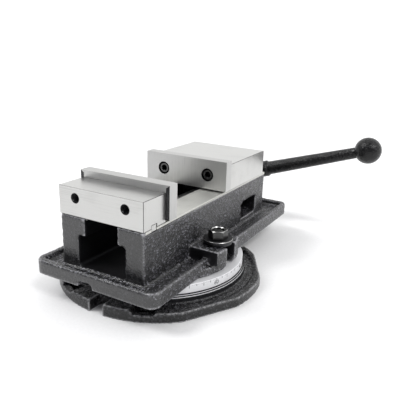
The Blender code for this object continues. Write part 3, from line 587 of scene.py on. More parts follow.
# %% Graduated ring
RING_FLOOR, PIVOT_BORE = 9.6, 15.3
LIPS = ((CAST_TOP, CAST_TOP + 0.9), (CAST_TOP + 1.4, CAST_TOP + 2.2))
WALL_FOOT = CAST_TOP + 2.9
lip_outer, lip_inner, wall_inner = FOOT_RADIUS - 0.6, RING_RADIUS + 1.0, RING_RADIUS - 0.6
neck_outer, neck_inner = T_SLOT_RADIUS + T_SLOT_NECK, T_SLOT_RADIUS - T_SLOT_NECK
slot_outer, slot_inner = T_SLOT_RADIUS + T_SLOT_HALF, T_SLOT_RADIUS - T_SLOT_HALF
ring_profile = [(PIVOT_BORE, RING_FLOOR), (84.5, RING_FLOOR), (84.5, CAST_TOP - 1),
                (lip_outer, CAST_TOP - 0.6), (lip_outer, LIPS[0][0]), (lip_outer, LIPS[0][1]),
                (lip_inner, LIPS[0][1]), (lip_inner, LIPS[1][0]), (lip_inner, LIPS[1][1]),
                (wall_inner, LIPS[1][1]), (wall_inner, WALL_FOOT), (RING_RADIUS, WALL_FOOT + 0.2),
                (RING_RADIUS, RING_TOP - 0.4), (RING_RADIUS - 0.4, RING_TOP),
                (neck_outer + 0.4, RING_TOP), (neck_outer, RING_TOP - 0.4), (neck_outer, T_SLOT_ROOF),
                (slot_outer, T_SLOT_ROOF), (slot_outer, RING_FLOOR + 0.4), (slot_inner, RING_FLOOR + 0.4),
                (slot_inner, T_SLOT_ROOF), (neck_inner, T_SLOT_ROOF), (neck_inner, RING_TOP - 0.4),
                (neck_inner - 0.4, RING_TOP), (48, RING_TOP), (48, RING_FLOOR + 1.5),
                (26, RING_FLOOR + 1.5), (26, RING_TOP), (PIVOT_BORE + 0.5, RING_TOP),
                (PIVOT_BORE, RING_TOP - 0.5)]
ring = crisp(turned(ring_profile, steps=192, name="graduated_ring"))
place_piece(ring, "base", ring_steel, "turned_steel", "swivel_base")


def in_groove(spot, normal):
    """The grooves of the ring's foot and everything inward of the T-slot's outer wall are painted dark as
    painted shade; the two lips stay bright.
    """
    on_lip = abs(normal.z) < 0.5 and any(low < spot.z < high for low, high in LIPS)
    return spot.z < WALL_FOOT and not on_lip or spot.xy.length < neck_outer - 0.1


# Painted shade in the foot's grooves and in the T-slot.
shade_where(ring, dark_steel, in_groove)

_, pin_radius, _, _, pin_low, pin_high = edges("swivel_pivot_pin")
pin_profile = [(0, pin_low), (pin_radius - 1, pin_low), (pin_radius, pin_low + 1),
               (pin_radius, pin_high - 1), (pin_radius - 1, pin_high), (3, pin_high), (1.2, pin_high - 1.8),
               (0, pin_high - 2.4)]
pin = crisp(turned(pin_profile, steps=64, name="pivot_pin"))
place_piece(pin, "base", pin_steel, "turned_steel", "swivel_pivot_pin")

# %% [markdown]
# ## The degree scale
#
# The scale has a tick at every degree, longer at every fifth and tenth. They follow a rule, so a geometry
# tree draws them: it lays points on a circle, turns a small bar outwards on each, and stretches the bar
# where the degree divides by five or ten. The tree ends by making the bars real and giving them their
# lacquer.

# %% Geometry tree helpers


def start_tree(name, sockets):
    """A geometry tree with named inputs, a function that adds its nodes, and its inputs' sockets."""
    tree = bpy.data.node_groups.new(name, "GeometryNodeTree")
    for label, kind in sockets.items():
        tree.interface.new_socket(label, in_out="INPUT", socket_type="NodeSocket" + kind)
    tree.interface.new_socket("Result", in_out="OUTPUT", socket_type="NodeSocketGeometry")
    add = partial(add_node, tree)
    return tree, add, add("NodeGroupInput")


def end_tree(add, geometry, material):
    """Every tree ends the same way: real geometry, one material, one output."""
    real = add("GeometryNodeRealizeInstances", {"Geometry": geometry})[0]
    painted = add("GeometryNodeSetMaterial", {"Geometry": real, "Material": material})[0]
    add("NodeGroupOutput", {"Result": painted})


def run_tree(name, tree, values, points=()):
    """Runs a tree on a mesh that holds only points, and keeps the result as a plain mesh."""
    mesh = bpy.data.meshes.new(name)
    mesh.from_pydata([Vector(point) * MM for point in points], [], [])
    obj = new_object(name, mesh)
    modifier = obj.modifiers.new(tree.name, "NODES")
    modifier.node_group = tree
    for item in tree.interface.items_tree:
        if item.in_out == "INPUT" and item.name in values:
            modifier[item.identifier] = values[item.name]
    settle(obj)
    print(name, "came out of the tree", tree.name, "with", len(obj.data.polygons), "faces")
    return obj


# %% Ticks
SCALE_TURN = 11.0
ticks_tree, add, given = start_tree("degree ticks", {
    "Count": "Int", "Radius": "Float", "Top": "Float", "Length": "Float", "Width": "Float",
    "Depth": "Float", "Material": "Material"})
index = add("GeometryNodeInputIndex")[0]
step = add(MATH, (2 * math.pi, given["Count"]), operation="DIVIDE")[0]
angle = add(MATH, (index, step), operation="MULTIPLY")[0]
rest_of_5, rest_of_10 = [add(MATH, (index, every), operation="MODULO")[0] for every in (5, 10)]
fifth = add(MATH, (rest_of_5, 0.5), operation="LESS_THAN")[0]
tenth = add(MATH, (rest_of_10, 0.5), operation="LESS_THAN")[0]
longer = add(MATH, (fifth, 0.9, 1), operation="MULTIPLY_ADD")[0]
longer = add(MATH, (tenth, 1.3, longer), operation="MULTIPLY_ADD")[0]
wider = add(MATH, (fifth, 2, 1), operation="MULTIPLY_ADD")[0]
length = add(MATH, (given["Length"], longer), operation="MULTIPLY")[0]
width = add(MATH, (given["Width"], wider), operation="MULTIPLY")[0]
height = add(MATH, (length, -0.5, given["Top"]), operation="MULTIPLY_ADD")[0]
cosine, sine = [add(MATH, (angle,), operation=part)[0] for part in ("COSINE", "SINE")]
x, y = [add(MATH, (part, given["Radius"]), operation="MULTIPLY")[0] for part in (cosine, sine)]
spot = add(COMBINE, (x, y, height))[0]
points = add("GeometryNodePoints", {"Count": given["Count"], "Position": spot})[0]
bar = add("GeometryNodeMeshCube", {"Size": (1, 1, 1)})["Mesh"]
turn = add(COMBINE, {"Z": angle})[0]
size = add(COMBINE, (given["Depth"], width, length))[0]
bars = add("GeometryNodeInstanceOnPoints", {"Points": points, "Instance": bar, "Rotation": turn,
                                            "Scale": size})[0]
end_tree(add, bars, given["Material"])
ticks = run_tree("scale_ticks", ticks_tree, {
    "Count": 360, "Radius": RING_RADIUS * MM, "Top": (RING_TOP - 0.5) * MM, "Length": 1.1 * MM,
    "Width": 0.15 * MM, "Depth": 0.06 * MM, "Material": lacquer})
ticks.data.transform(Matrix.Rotation(math.radians(SCALE_TURN), 4, "Z"))
place_piece(ticks, "base", lacquer, "turned_steel", "swivel_base")

# %% [markdown]
# The numbers stand under every thirtieth tick. They count from 0 in front up to 90 at each side and down
# to 0 behind, and the whole scale is turned on the ring by SCALE_TURN. A text object is flat, so each is
# made a mesh, and its points are then wrapped round the ring.

# %% Numbers
NUMBER_SIZE, NUMBER_DROP = 6.0, 6.4


def number_mesh(text, degrees, work):
    """Adds a number to work, wrapped on the ring at an angle from the front, seen from outside."""
    curve = bpy.data.curves.new("number", "FONT")
    curve.body = text
    curve.size = NUMBER_SIZE * MM
    curve.extrude = 0.03 * MM
    curve.align_x = "CENTER"
    curve.resolution_u = 3
    obj = new_object("number", curve)
    mesh = plain_mesh(obj)
    for vertex in mesh.vertices:
        around = math.radians(degrees - 90 + SCALE_TURN) + vertex.co.x / (RING_RADIUS * MM)
        out = RING_RADIUS * MM + vertex.co.z
        up = vertex.co.y + (RING_TOP - NUMBER_DROP) * MM
        vertex.co = (out * math.cos(around), out * math.sin(around), up)
    work.from_mesh(mesh)
    bpy.data.objects.remove(obj)
    bpy.data.curves.remove(curve)


work = bmesh.new()
for degrees in range(0, 360, 30):
    from_front = min(degrees, 360 - degrees)
    number_mesh(str(90 - abs(90 - from_front)), degrees, work)
work.transform(Matrix.Scale(1 / MM, 4))
bmesh.ops.remove_doubles(work, verts=work.verts, dist=0.001)
numbers = add_object("scale_numbers", work)
place_piece(numbers, "base", lacquer, "turned_steel", "swivel_base")

# %% [markdown]
# ## The vise body
#
# One casting holds the tray with its rim, the block under the bed, the T-shaped channel for the nut, two
# windows at the thrust bearing and two lugs for the clamping bolts. The bed itself is ground, so its top
# two millimetres are a piece of their own in bare metal.

# %% Body casting
CAST_BED = BED_TOP - MACHINED
LIP, BUSH_BORE, KEY_PLAY = 3.5, 13.0, 0.6


def lug_outline(side):
    low = math.degrees(math.asin((LUG_Y - LUG_HALF) / LUG_REACH))
    high = math.degrees(math.asin((LUG_Y + LUG_HALF) / LUG_REACH))
    points = [(40, LUG_Y - LUG_HALF)] + arc((0, 0), LUG_REACH, low, high, 12) + [(40, LUG_Y + LUG_HALF)]
    return [(side * x, y) for x, y in points]


def lug_slot(side):
    half = LUG_SLOT_HALF
    mouth = [(LUG_REACH + 2, LUG_Y - half), (LUG_REACH + 2, LUG_Y + half)]
    points = arc((64, LUG_Y), half, 90, 270, 16) + mouth
    return [(side * x, y) for x, y in points]


def channel_tools():
    """The T-shaped channel: its wide part, and its neck up through the bed."""
    return (prism(rectangle(-CHANNEL_HALF, CHANNEL_HALF, CHANNEL_FLOOR, CHANNEL_ROOF), BLOCK_FRONT - 2,
                  CHANNEL_END, "Y"),
            prism(rectangle(-NECK_HALF, NECK_HALF, CHANNEL_ROOF - 3, BED_TOP + 1), BLOCK_FRONT - 3,
                  CHANNEL_END + 0.1, "Y"))


body = prism(rounded(-FLANGE_HALF, FLANGE_HALF, FLANGE_FRONT, FLANGE_REAR, FLANGE_CORNER), BODY_FLOOR,
             FLANGE_TOP, name="body_skin")
inner = FLANGE_HALF - TRAY_RIM
tray = prism(rounded(-inner, inner, FLANGE_FRONT + TRAY_RIM + 1, FLANGE_REAR - TRAY_RIM - 1,
                     FLANGE_CORNER - TRAY_RIM), TRAY_FLOOR, FLANGE_TOP + 1)
carve(body, "DIFFERENCE", tray)
block = prism(rectangle(-BLOCK_HALF, BLOCK_HALF, BLOCK_FRONT, BODY_REAR), 30, CAST_BED)
pad = rod(PAD_RADIUS, BODY_FLOOR, PAD_TOP, steps=120)
lip = prism(rectangle(-BLOCK_HALF, BLOCK_HALF, BLOCK_FRONT, BLOCK_FRONT + LIP), 60, BED_TOP)
carve(body, "UNION", block, pad, lip, prism(lug_outline(1), 29, LUG_TOP), prism(lug_outline(-1), 29, LUG_TOP))
window = [(95, 40.8), (136, 40.8), (136, 61), (99, 61), (95, 57)]
key_slot = rectangle(-14.6, 0.4, 20, 31)
carve(body, "DIFFERENCE", *channel_tools(),
      prism(lug_slot(1), 20, LUG_TOP + 1), prism(lug_slot(-1), 20, LUG_TOP + 1),
      prism(window, -BLOCK_HALF - 1, BLOCK_HALF + 1, "X"),
      prism(key_slot, FLANGE_FRONT - 1, -88, "Y"), prism(key_slot, 150, FLANGE_REAR + 1, "Y"),
      rod(PIVOT_BORE, 20, CHANNEL_FLOOR + 1),
      rod(BUSH_BORE, CHANNEL_END - 1, BODY_REAR + 1, "Y", (0, SCREW_Z)))
cast_skin(body, 1.45)


def body_rawness(point, normal):
    """How raw the casting is at a point: 1 on the sides and the tray, less where it was fettled."""
    if point.z < BODY_FLOOR + 1 or point.z > CAST_BED - 0.8 and point.y > BLOCK_FRONT + 1:
        return 0.0
    in_channel = abs(point.x) < CHANNEL_HALF + 1 and point.y > BLOCK_FRONT + 2 and point.z > 36
    if in_channel or point.xy.length < 16:
        return 0.2
    if Vector((abs(point.x) - 66, point.y - LUG_Y)).length < 17 and point.z > LUG_TOP - 1.5:
        return 0.3
    if point.y > BODY_REAR - 1 and normal.y > 0.7:
        return 0.4
    return 0.15 if normal.y < -0.75 else 1.0


roughen(body, 1.0, body_rawness)
place_piece(body, "vise_body", body_paint, "black_cast_paint", "body_casting")


def in_body_shade(spot, normal):
    """Inside the channel, and the front and the slot of a lug: recesses painted black as painted shade."""
    channel = abs(spot.x) < CHANNEL_HALF + 0.6 and CHANNEL_FLOOR - 1 < spot.z < CAST_BED
    lug = BLOCK_HALF + 1 < abs(spot.x) < LUG_REACH - 1.2 and PAD_TOP + 0.5 < spot.z < LUG_TOP - 1.2
    lug_front = abs(spot.y - LUG_Y + LUG_HALF) < 1.5 and normal.y < -0.6
    in_slot = abs(spot.y - LUG_Y) < LUG_SLOT_HALF + 0.6 and abs(spot.x) > 56
    return channel and BLOCK_FRONT + 0.8 < spot.y < CHANNEL_END + 1 or lug and (lug_front or in_slot)


# Painted shade: the channel and the lug's front and slot are painted black.
shade_where(body, painted_shade_black, in_body_shade)

# %% [markdown]
# The bed is a plain ground plate with the channel's neck and the key's seat cut through it. Its sharp,
# bright edges against the rough casting are what make the vise look precise.

# %% Ground bed
bed = prism(rectangle(-BLOCK_HALF, BLOCK_HALF, BLOCK_FRONT + LIP - 0.4, BODY_REAR), CAST_BED - 0.6, BED_TOP,
            name="bed_ways")
_, _, key_front, key_rear, key_low, key_top = edges("fixed_jaw_key_right")
seat = rectangle(key_front - KEY_PLAY, key_rear + KEY_PLAY, key_low - GAP, BED_TOP + 1)
carve(bed, "DIFFERENCE", prism(rectangle(-NECK_HALF, NECK_HALF, 60, BED_TOP + 1), BLOCK_FRONT - 3,
                               CHANNEL_END + 0.1, "Y"),
      prism(seat, -BLOCK_HALF - 1, BLOCK_HALF + 1, "X"))
break_edges(bed, 0.35)
place_piece(bed, "vise_body", way_steel, "ground_steel", "body_casting")

# %% [markdown]
# ## Jaws
#
# Both jaws are hardened blocks, ground all over, with a ground plate screwed to each face. Machinists
# break such edges by a few tenths of a millimetre, so the bevel is small and the faces stay flat.

# %% Fixed jaw
THREAD_STEP = 1.25
SCREW_HOLE, SCREW_SEAT, JAW_EDGE = 4.5, 7.2, 0.5


def tapped_hole(front, rear, radius, centre):
    """A tapped hole seen from the front: a short plain mouth, then fine ridges down the wall."""
    profile = [(0, front - 1), (radius + 0.1, front - 1), (radius + 0.1, front + 0.9)]
    along = front + 0.9
    while along + THREAD_STEP < rear - 1:
        profile += [(radius - 0.35, along + THREAD_STEP / 2), (radius + 0.1, along + THREAD_STEP)]
        along += THREAD_STEP
    return turned(profile + [(radius, rear + 1), (0, rear + 1)], "Y", centre, 40)


screw_spots = [(middle(node).x, middle(node).z) for node in both("fixed_plate_screw")]
fixed_block = prism(rectangle(BLOCK_FRONT, BLOCK_REAR, BLOCK_LOW, BLOCK_TOP), -BLOCK_HALF, BLOCK_HALF, "X",
                    "fixed_block")
seat = rectangle(key_front - KEY_PLAY, key_rear + KEY_PLAY, BLOCK_LOW - 1, key_top + GAP)
carve(fixed_block, "DIFFERENCE", prism(seat, -BLOCK_HALF - 1, BLOCK_HALF + 1, "X"),
      *[tapped_hole(BLOCK_FRONT, BLOCK_REAR, 4.4, spot) for spot in screw_spots])
break_edges(fixed_block, JAW_EDGE, 3)
place_piece(fixed_block, "vise_body", jaw_steel, "ground_steel", "fixed_jaw_block")


def on_edge(spot, normal):
    """The narrow faces of broken edges: their normals lean between two axes."""
    return max(abs(part) for part in normal) < 0.97


def in_hole(spot, normal):
    """The walls of the screw holes, behind their countersinks."""
    return any(math.hypot(spot.x - x, spot.z - z) < 6.2 for x, z in screw_spots) and abs(normal.y) < 0.97


# The broken edges are painted dark: a painted dark reflection.
shade_where(fixed_block, edge_steel, on_edge)
shade_where(fixed_block, dark_steel, in_hole)


def jaw_plate(name, front, rear, seat_from, seat_to):
    plate = prism(rectangle(front, rear, PLATE_LOW, PLATE_TOP), -PLATE_HALF, PLATE_HALF, "X", name)
    for spot in screw_spots:
        carve(plate, "DIFFERENCE",
              rod(SCREW_HOLE, front - 1, rear + 1, "Y", spot, 40),
              rod(SCREW_SEAT, seat_from, seat_to, "Y", spot, 56))
    work = bmesh.new()
    work.from_mesh(break_edges(plate, JAW_EDGE, 3).data)
    for side in (-1, 1):
        bmesh.ops.bisect_plane(work, geom=work.verts[:] + work.edges[:] + work.faces[:],
                               plane_co=(side * BLOCK_HALF * MM, 0, 0), plane_no=(1, 0, 0))
    work.to_mesh(plate.data)
    work.free()
    return plate


def finish_plate(plate, back):
    """A plate's broken edges take a painted dark reflection and its screw seats are darker; its back face
    past the block is painted dark as painted shade.
    """
    shade_where(plate, edge_steel, on_edge)
    # Painted shade on the plate's back face past the block; the screw seats are darker too.
    shade_where(plate, dark_steel, lambda spot, normal: abs(normal.y) < 0.5 and abs(spot.x) < 40
                and PLATE_LOW + 2 < spot.z < PLATE_TOP - 2 or normal.y * back > 0.9
                and abs(spot.x) > BLOCK_HALF and spot.z < BLOCK_TOP)


fixed_plate = jaw_plate("fixed_plate", PLATE_FRONT, FIXED_FACE, FIXED_FACE - 9, FIXED_FACE + 1)
place_piece(fixed_plate, "vise_body", plate_steel, "ground_steel", "fixed_jaw_plate")
finish_plate(fixed_plate, -1)

# %% Keys
keys = None
for node in both("fixed_jaw_key"):
    x0, x1, y0, y1, z0, z1 = edges(node)
    key = prism(rectangle(y0, y1, z0, z1), x0, x1, "X", "jaw_keys")
    keys = key if keys is None else carve(keys, "UNION", key)
break_edges(keys, 0.3)
place_piece(keys, "vise_body", jaw_steel, "ground_steel", *both("fixed_jaw_key"))

# %% Moving jaw
moving_block = prism(rectangle(SLIDE_FRONT, SLIDE_REAR, BLOCK_LOW, SLIDE_TOP), -SLIDE_HALF, SLIDE_HALF,
                     "X", "moving_block")
pocket = rectangle(69, 114, BLOCK_LOW - 1, 104)
carve(moving_block, "DIFFERENCE", prism(pocket, -17.5, 17.5, "X"),
      *[rod(4.3, SLIDE_FRONT - 1, 82, "Y", spot, 32) for spot in screw_spots],
      turned([(0, 113), (4.3, 113), (4.3, SLIDE_REAR - 0.8), (5.4, SLIDE_REAR + 1), (0, SLIDE_REAR + 1)],
             "Y", (0, 94), 32))
break_edges(moving_block, JAW_EDGE, 3)
place_piece(moving_block, "moving_jaw", jaw_steel, "ground_steel", "moving_jaw_block")
# The broken edges are painted dark: a painted dark reflection.
shade_where(moving_block, edge_steel, on_edge)
moving_plate = jaw_plate("moving_plate", MOVING_FACE, MOVING_PLATE_REAR, MOVING_FACE - 1, MOVING_FACE + 9)
place_piece(moving_plate, "moving_jaw", plate_steel, "ground_steel", "moving_jaw_plate")
finish_plate(moving_plate, 1)

# %% [markdown]
# ## Fasteners
#
# The same screw, nut or washer sits in several places. One of each is modelled, and a small geometry tree
# puts a copy on every point it is given, turned the way that set of fasteners points.

# %% Copies tree
copies_tree, add, given = start_tree("copies on points", {
    "Points": "Geometry", "Shape": "Object", "Turn": "Rotation", "Material": "Material"})
shape = add("GeometryNodeObjectInfo", {"Object": given["Shape"]})["Geometry"]
copies = add("GeometryNodeInstanceOnPoints", {"Points": given["Points"], "Instance": shape,
                                              "Rotation": given["Turn"]})[0]
end_tree(add, copies, given["Material"])
print("the tree", copies_tree.name, "has", len(copies_tree.nodes), "nodes")


def copy_to(name, shape, points, turn, material):
    """Copies of a shape that was modelled standing at the origin, then the shape is removed."""
    made = run_tree(name, copies_tree, {"Shape": shape, "Turn": turn, "Material": material}, points)
    bpy.data.objects.remove(shape)
    return made


# %% Socket screws


def socket_screw(shank, length, head, head_height, flats):
    """A socket screw with its head's seat at the origin, its shank down and its head up."""
    profile = [(0, -length), (shank - 0.7, -length)]
    along = -length + 0.6
    while along + THREAD_STEP < -1:
        profile += [(shank, along), (shank, along + 0.2), (shank - 0.6, along + 0.6 * THREAD_STEP)]
        along += THREAD_STEP
    profile += [(shank, along), (shank, 0), (head, 0), (head, head_height - 1.6),
                (head - 0.4, head_height - 1.0), (head - 1.5, head_height), (0, head_height)]
    screw = turned(profile, steps=48)
    carve(screw, "DIFFERENCE", prism(hexagon(flats), head_height * 0.4, head_height + 1),
          turned([(0, head_height - 0.5), (flats / 2, head_height - 0.5),
                  (flats / 2 + 1.3, head_height + 0.6), (0, head_height + 0.6)], steps=48))
    return crisp(screw)


SEAT_DEPTH = 8.6
moving_seats = [(x, MOVING_FACE + SEAT_DEPTH, z) for x, z in screw_spots]
fixed_seats = [(x, FIXED_FACE - SEAT_DEPTH, z) for x, z in screw_spots]
screws = copy_to("moving_plate_screws", socket_screw(4, 26, 6.6, 7.8, 6), moving_seats,
                 (math.pi / 2, 0, 0), oxide)
place_piece(screws, "moving_jaw", oxide, "black_oxide", *both("moving_plate_screw"))
shade_where(screws, edge_steel, lambda spot, normal: normal.y < -0.9 and spot.y < MOVING_FACE + 1.5)
screws = copy_to("fixed_plate_screws", socket_screw(4, 23, 6.6, 7.8, 6), fixed_seats,
                 (-math.pi / 2, 0, 0), oxide)
place_piece(screws, "vise_body", oxide, "black_oxide", *both("fixed_plate_screw"))
bolt_seats = [(*middle(node)[:2], 51.7) for node in both("fixed_jaw_bolt")]
bolts = copy_to("fixed_jaw_bolts", socket_screw(4, 44, 6.5, 8, 6), bolt_seats, (math.pi, 0, 0), oxide)
place_piece(bolts, "vise_body", oxide, "black_oxide", *both("fixed_jaw_bolt"))

# %% Clamping bolts, washers and nuts
clamp_x, clamp_y, _ = middle("clamp_nut_right")
clamps = [(clamp_x, clamp_y, 0), (-clamp_x, clamp_y, 0)]
nut_low, nut_top = edges("clamp_nut_right")[4:]
washer_low, washer_top = edges("clamp_washer_right")[4:]
bolt_top = edges("t_bolt_right")[5]

BOLT_PITCH = 1.75
along = 40.0
bolt = [(0, 12), (6, 12), (6, along)]
while along + BOLT_PITCH < bolt_top - 1:
    bolt += [(6, along + 0.3), (5.1, along + 0.9), (6, along + 1.5)]
    along += BOLT_PITCH
bolt = turned(bolt + [(5.9, bolt_top - 0.9), (5.1, bolt_top), (0, bolt_top)], steps=48)
carve(bolt, "UNION", prism(rectangle(-9.5, 9.5, -9.5, 9.5), T_SLOT_FLOOR + 2, T_SLOT_ROOF - GAP))
bolts = copy_to("clamp_bolts", crisp(bolt), clamps, (0, 0, 0), dark_steel)
place_piece(bolts, "vise_body", dark_steel, "dark_steel", *both("t_bolt"))
shade_where(bolts, nut_steel, lambda spot, normal: spot.z > bolt_top - 1)

washer = [(6.5, washer_low), (14.2, washer_low), (14.2, washer_low + 1.4), (15, washer_low + 2),
          (15, washer_top - 0.8), (14.7, washer_top - 0.3), (14.2, washer_top), (6.9, washer_top),
          (6.5, washer_top - 0.3)]
washers = copy_to("clamp_washers", crisp(turned(washer, steps=96)), clamps, (0, 0, 0), dark_steel)
place_piece(washers, "vise_body", dark_steel, "dark_steel", *both("clamp_washer"))
# Painted highlight: the washers' chamfer is given bright steel.
shade_where(washers, bright_steel, lambda spot, normal: 0.1 < normal.z < 0.6)


def nut_shape():
    """A hexagon, rounded at the top by the chamfer that every rolled nut has, with a bevelled bore."""
    nut = prism(hexagon(17.2, turn=27), nut_low, nut_top + 1)
    dome = [(0, nut_low - 1), (9.4, nut_low - 1), (10.5, nut_low + 0.5), (10.5, nut_top - 1.7),
            (9.8, nut_top - 1.1), (9.0, nut_top - 0.5), (8.4, nut_top), (0, nut_top)]
    carve(nut, "INTERSECT", turned(dome, steps=96))
    bore = [(0, nut_low - 1), (6.3, nut_low - 1), (6.3, nut_top - 1.0), (7.2, nut_top + 0.1),
            (0, nut_top + 0.1)]
    carve(nut, "DIFFERENCE", turned(bore, steps=64))
    return crisp(nut, 25)


nuts = copy_to("clamp_nuts", nut_shape(), clamps, (0, 0, 0), nut_steel)
place_piece(nuts, "vise_body", nut_steel, "turned_steel", *both("clamp_nut"))
# Painted highlight: the nuts' top chamfer is given bright steel.
shade_where(nuts, bright_steel, lambda spot, normal: 0.1 < normal.z < 0.97)

# %% [markdown]
# ## The lead screw
#
# A trapezoid thread follows a simple rule: its section moves one pitch along the axis for every turn. The
# tree bends a flat grid by that rule. Each column of the grid is one angle, and each four rows are one
# turn of the section: root, crest, crest, root. The last column meets the first one turn further on.

# %% Thread tree
thread_tree, add, given = start_tree("trapezoid thread", {
    "Turns": "Int", "Steps": "Int", "Start": "Float", "Pitch": "Float", "Crest": "Float",
    "Root": "Float", "Height": "Float", "Material": "Material"})
rows = add(MATH, (given["Turns"], 4), operation="MULTIPLY")[0]
columns = add(MATH, (given["Steps"], 1), operation="ADD")[0]
grid = add("GeometryNodeMeshGrid", {"Vertices X": columns, "Vertices Y": rows})["Mesh"]
index = add("GeometryNodeInputIndex")[0]
column = add(MATH, (add(MATH, (index, rows), operation="DIVIDE")[0],), operation="FLOOR")[0]
row = add(MATH, (index, rows), operation="MODULO")[0]
turn = add(MATH, (add(MATH, (row, 4), operation="DIVIDE")[0],), operation="FLOOR")[0]
corner = add(MATH, (row, 4), operation="MODULO")[0]
from_middle = add(MATH, (corner, 1.5), operation="SUBTRACT")[0]
away = add(MATH, (from_middle,), operation="ABSOLUTE")[0]
on_root = add(MATH, (away, 1), operation="GREATER_THAN")[0]
half_width = add(MATH, (on_root, 0.15, 0.18), operation="MULTIPLY_ADD")[0]
half_width = add(MATH, (half_width, given["Pitch"]), operation="MULTIPLY")[0]
way = add(MATH, (from_middle,), operation="SIGN")[0]
share = add(MATH, (column, given["Steps"]), operation="DIVIDE")[0]
turned_by = add(MATH, (turn, share), operation="ADD")[0]
along = add(MATH, (turned_by, given["Pitch"], given["Start"]), operation="MULTIPLY_ADD")[0]
along = add(MATH, (way, half_width, along), operation="MULTIPLY_ADD")[0]
span = add(MATH, (given["Root"], given["Crest"]), operation="SUBTRACT")[0]
radius = add(MATH, (on_root, span, given["Crest"]), operation="MULTIPLY_ADD")[0]
angle = add(MATH, (share, 2 * math.pi), operation="MULTIPLY")[0]
cosine, sine = [add(MATH, (angle,), operation=part)[0] for part in ("COSINE", "SINE")]
x = add(MATH, (cosine, radius), operation="MULTIPLY")[0]
z = add(MATH, (sine, radius, given["Height"]), operation="MULTIPLY_ADD")[0]
spot = add(COMBINE, (x, along, z))[0]
bent = add("GeometryNodeSetPosition", {"Geometry": grid, "Position": spot})[0]
joined = add("GeometryNodeMergeByDistance", {"Geometry": bent, "Distance": 0.01 * MM})[0]
end_tree(add, joined, given["Material"])
print("the tree", thread_tree.name, "has", len(thread_tree.nodes), "nodes")

PITCH, TURNS, CREST, ROOT = 5.0, 28, 10.0, 7.5
THREAD_START = -24.0
thread = run_tree("lead_screw_thread", thread_tree,
                  {"Turns": TURNS, "Steps": 48, "Start": THREAD_START * MM, "Pitch": PITCH * MM,
                   "Crest": CREST * MM, "Root": ROOT * MM, "Height": SCREW_Z * MM, "Material": bright_steel})

# %% [markdown]
# The tree leaves a spiral edge open at each end. A fan of triangles closes it towards the axis, and the
# shoulder, the journal and the hexagon for the crank are turned and joined on.

# %% Screw ends
work = bmesh.new()
work.from_mesh(thread.data)
work.transform(Matrix.Scale(1 / MM, 4))
half_way = THREAD_START + TURNS * PITCH / 2
tips = {end: work.verts.new((0, half_way + end * TURNS * PITCH / 2, SCREW_Z)) for end in (-1, 1)}
for edge in [edge for edge in work.edges if edge.is_boundary]:
    end = -1 if edge.verts[0].co.y < half_way else 1
    work.faces.new((edge.verts[0], edge.verts[1], tips[end]))
bpy.data.objects.remove(thread)
thread = add_object("lead_screw_turned", work)
collar_front, collar_rear = edges("screw_collar")[2:4]
screw_end = edges("lead_screw")[3]
core = [(0, 106), (ROOT - 0.7, 106), (ROOT - 0.7, 121), (14, 121), (15, 122), (15, 125.9), (14.2, 126.7),
        (9, 126.7), (9, 186), (7.8, 187.2), (0, 187.2)]
drive = prism(hexagon(14, (0, SCREW_Z), 30), 180, screw_end, "Y")
chamfer = turned([(0, 170), (20, 170), (20, screw_end - 6.5), (6.8, screw_end + 0.1), (0, screw_end + 0.1)],
                 "Y", (0, SCREW_Z))
carve(drive, "INTERSECT", chamfer)
carve(thread, "UNION", turned(core, "Y", (0, SCREW_Z)), drive)
crisp(thread, 25)
place_piece(thread, "screw", bright_steel, "turned_steel", "lead_screw")

collar = [(9.3, collar_front), (16, collar_front), (17, collar_front + 1), (17, collar_rear - 1),
          (16, collar_rear), (9.8, collar_rear), (9.3, collar_rear - 0.5)]
collar = turned(collar, "Y", (0, SCREW_Z), 96, "stop_collar")
hole_y = middle("collar_set_screw").y
carve(collar, "DIFFERENCE", rod(3.3, SCREW_Z + 7, SCREW_Z + 19, "Z", (0, hole_y), 32))
place_piece(crisp(collar), "screw", bright_steel, "turned_steel", "screw_collar")

# %% [markdown]
# ## The thrust bearing
#
# Eight balls run between two hardened races, spaced by a bronze cage, and a flanged bronze bush guides
# the screw through the rear wall.

# %% Races, cage, balls and bush


def washer_shape(name, node, bore, radius, bevel=0.4):
    """A plain turned ring along the screw, as long as the node it replaces."""
    front, rear = edges(node)[2:4]
    profile = [(bore, front), (radius - bevel, front), (radius, front + bevel), (radius, rear - bevel),
               (radius - bevel, rear), (bore, rear)]
    return crisp(turned(profile, "Y", (0, SCREW_Z), 72, name))


for name, node in (("front_race", "thrust_race_front"), ("rear_race", "thrust_race_rear")):
    place_piece(washer_shape(name, node, 9.4, 16.4), "vise_body", bright_steel, "turned_steel", node)
cage_y = middle("thrust_ball_cage").y
cage = turned([(10, cage_y - 0.8), (16, cage_y - 0.8), (16, cage_y + 0.8), (10, cage_y + 0.8)], "Y",
              (0, SCREW_Z), 72, "ball_cage")
place_piece(crisp(cage), "vise_body", bronze, "bearing_bronze", "thrust_ball_cage")
ball_profile = arc((0, 0), 2.2, -90, 90, 10)
ball_spots = [(x, cage_y, z) for x, z in arc((0, SCREW_Z), 13, 0, 315, 7)]
balls = copy_to("bearing_balls", crisp(turned(ball_profile[:-1] + [(0, 2.2)], steps=20)), ball_spots,
                (0, 0, 0), bright_steel)
place_piece(balls, "vise_body", bright_steel, "turned_steel", "thrust_ball_cage")
bush_front, bush_rear = edges("screw_bush")[2:4]
bush = [(9.3, bush_front), (12.7, bush_front), (12.7, bush_rear - 2), (15.6, bush_rear - 2),
        (16, bush_rear - 1.6), (16, bush_rear - 0.4), (15.6, bush_rear), (9.7, bush_rear),
        (9.3, bush_rear - 0.4)]
place_piece(crisp(turned(bush, "Y", (0, SCREW_Z), 72, "rear_bush")), "vise_body", bronze,
            "bearing_bronze", "screw_bush")

# %% [markdown]
# ## The crank
#
# The crank is rough and painted too: a hub that slips on the hexagon, a boss, a tapered arm and a ball. It is
# smoother than the body, because a hand turns it.

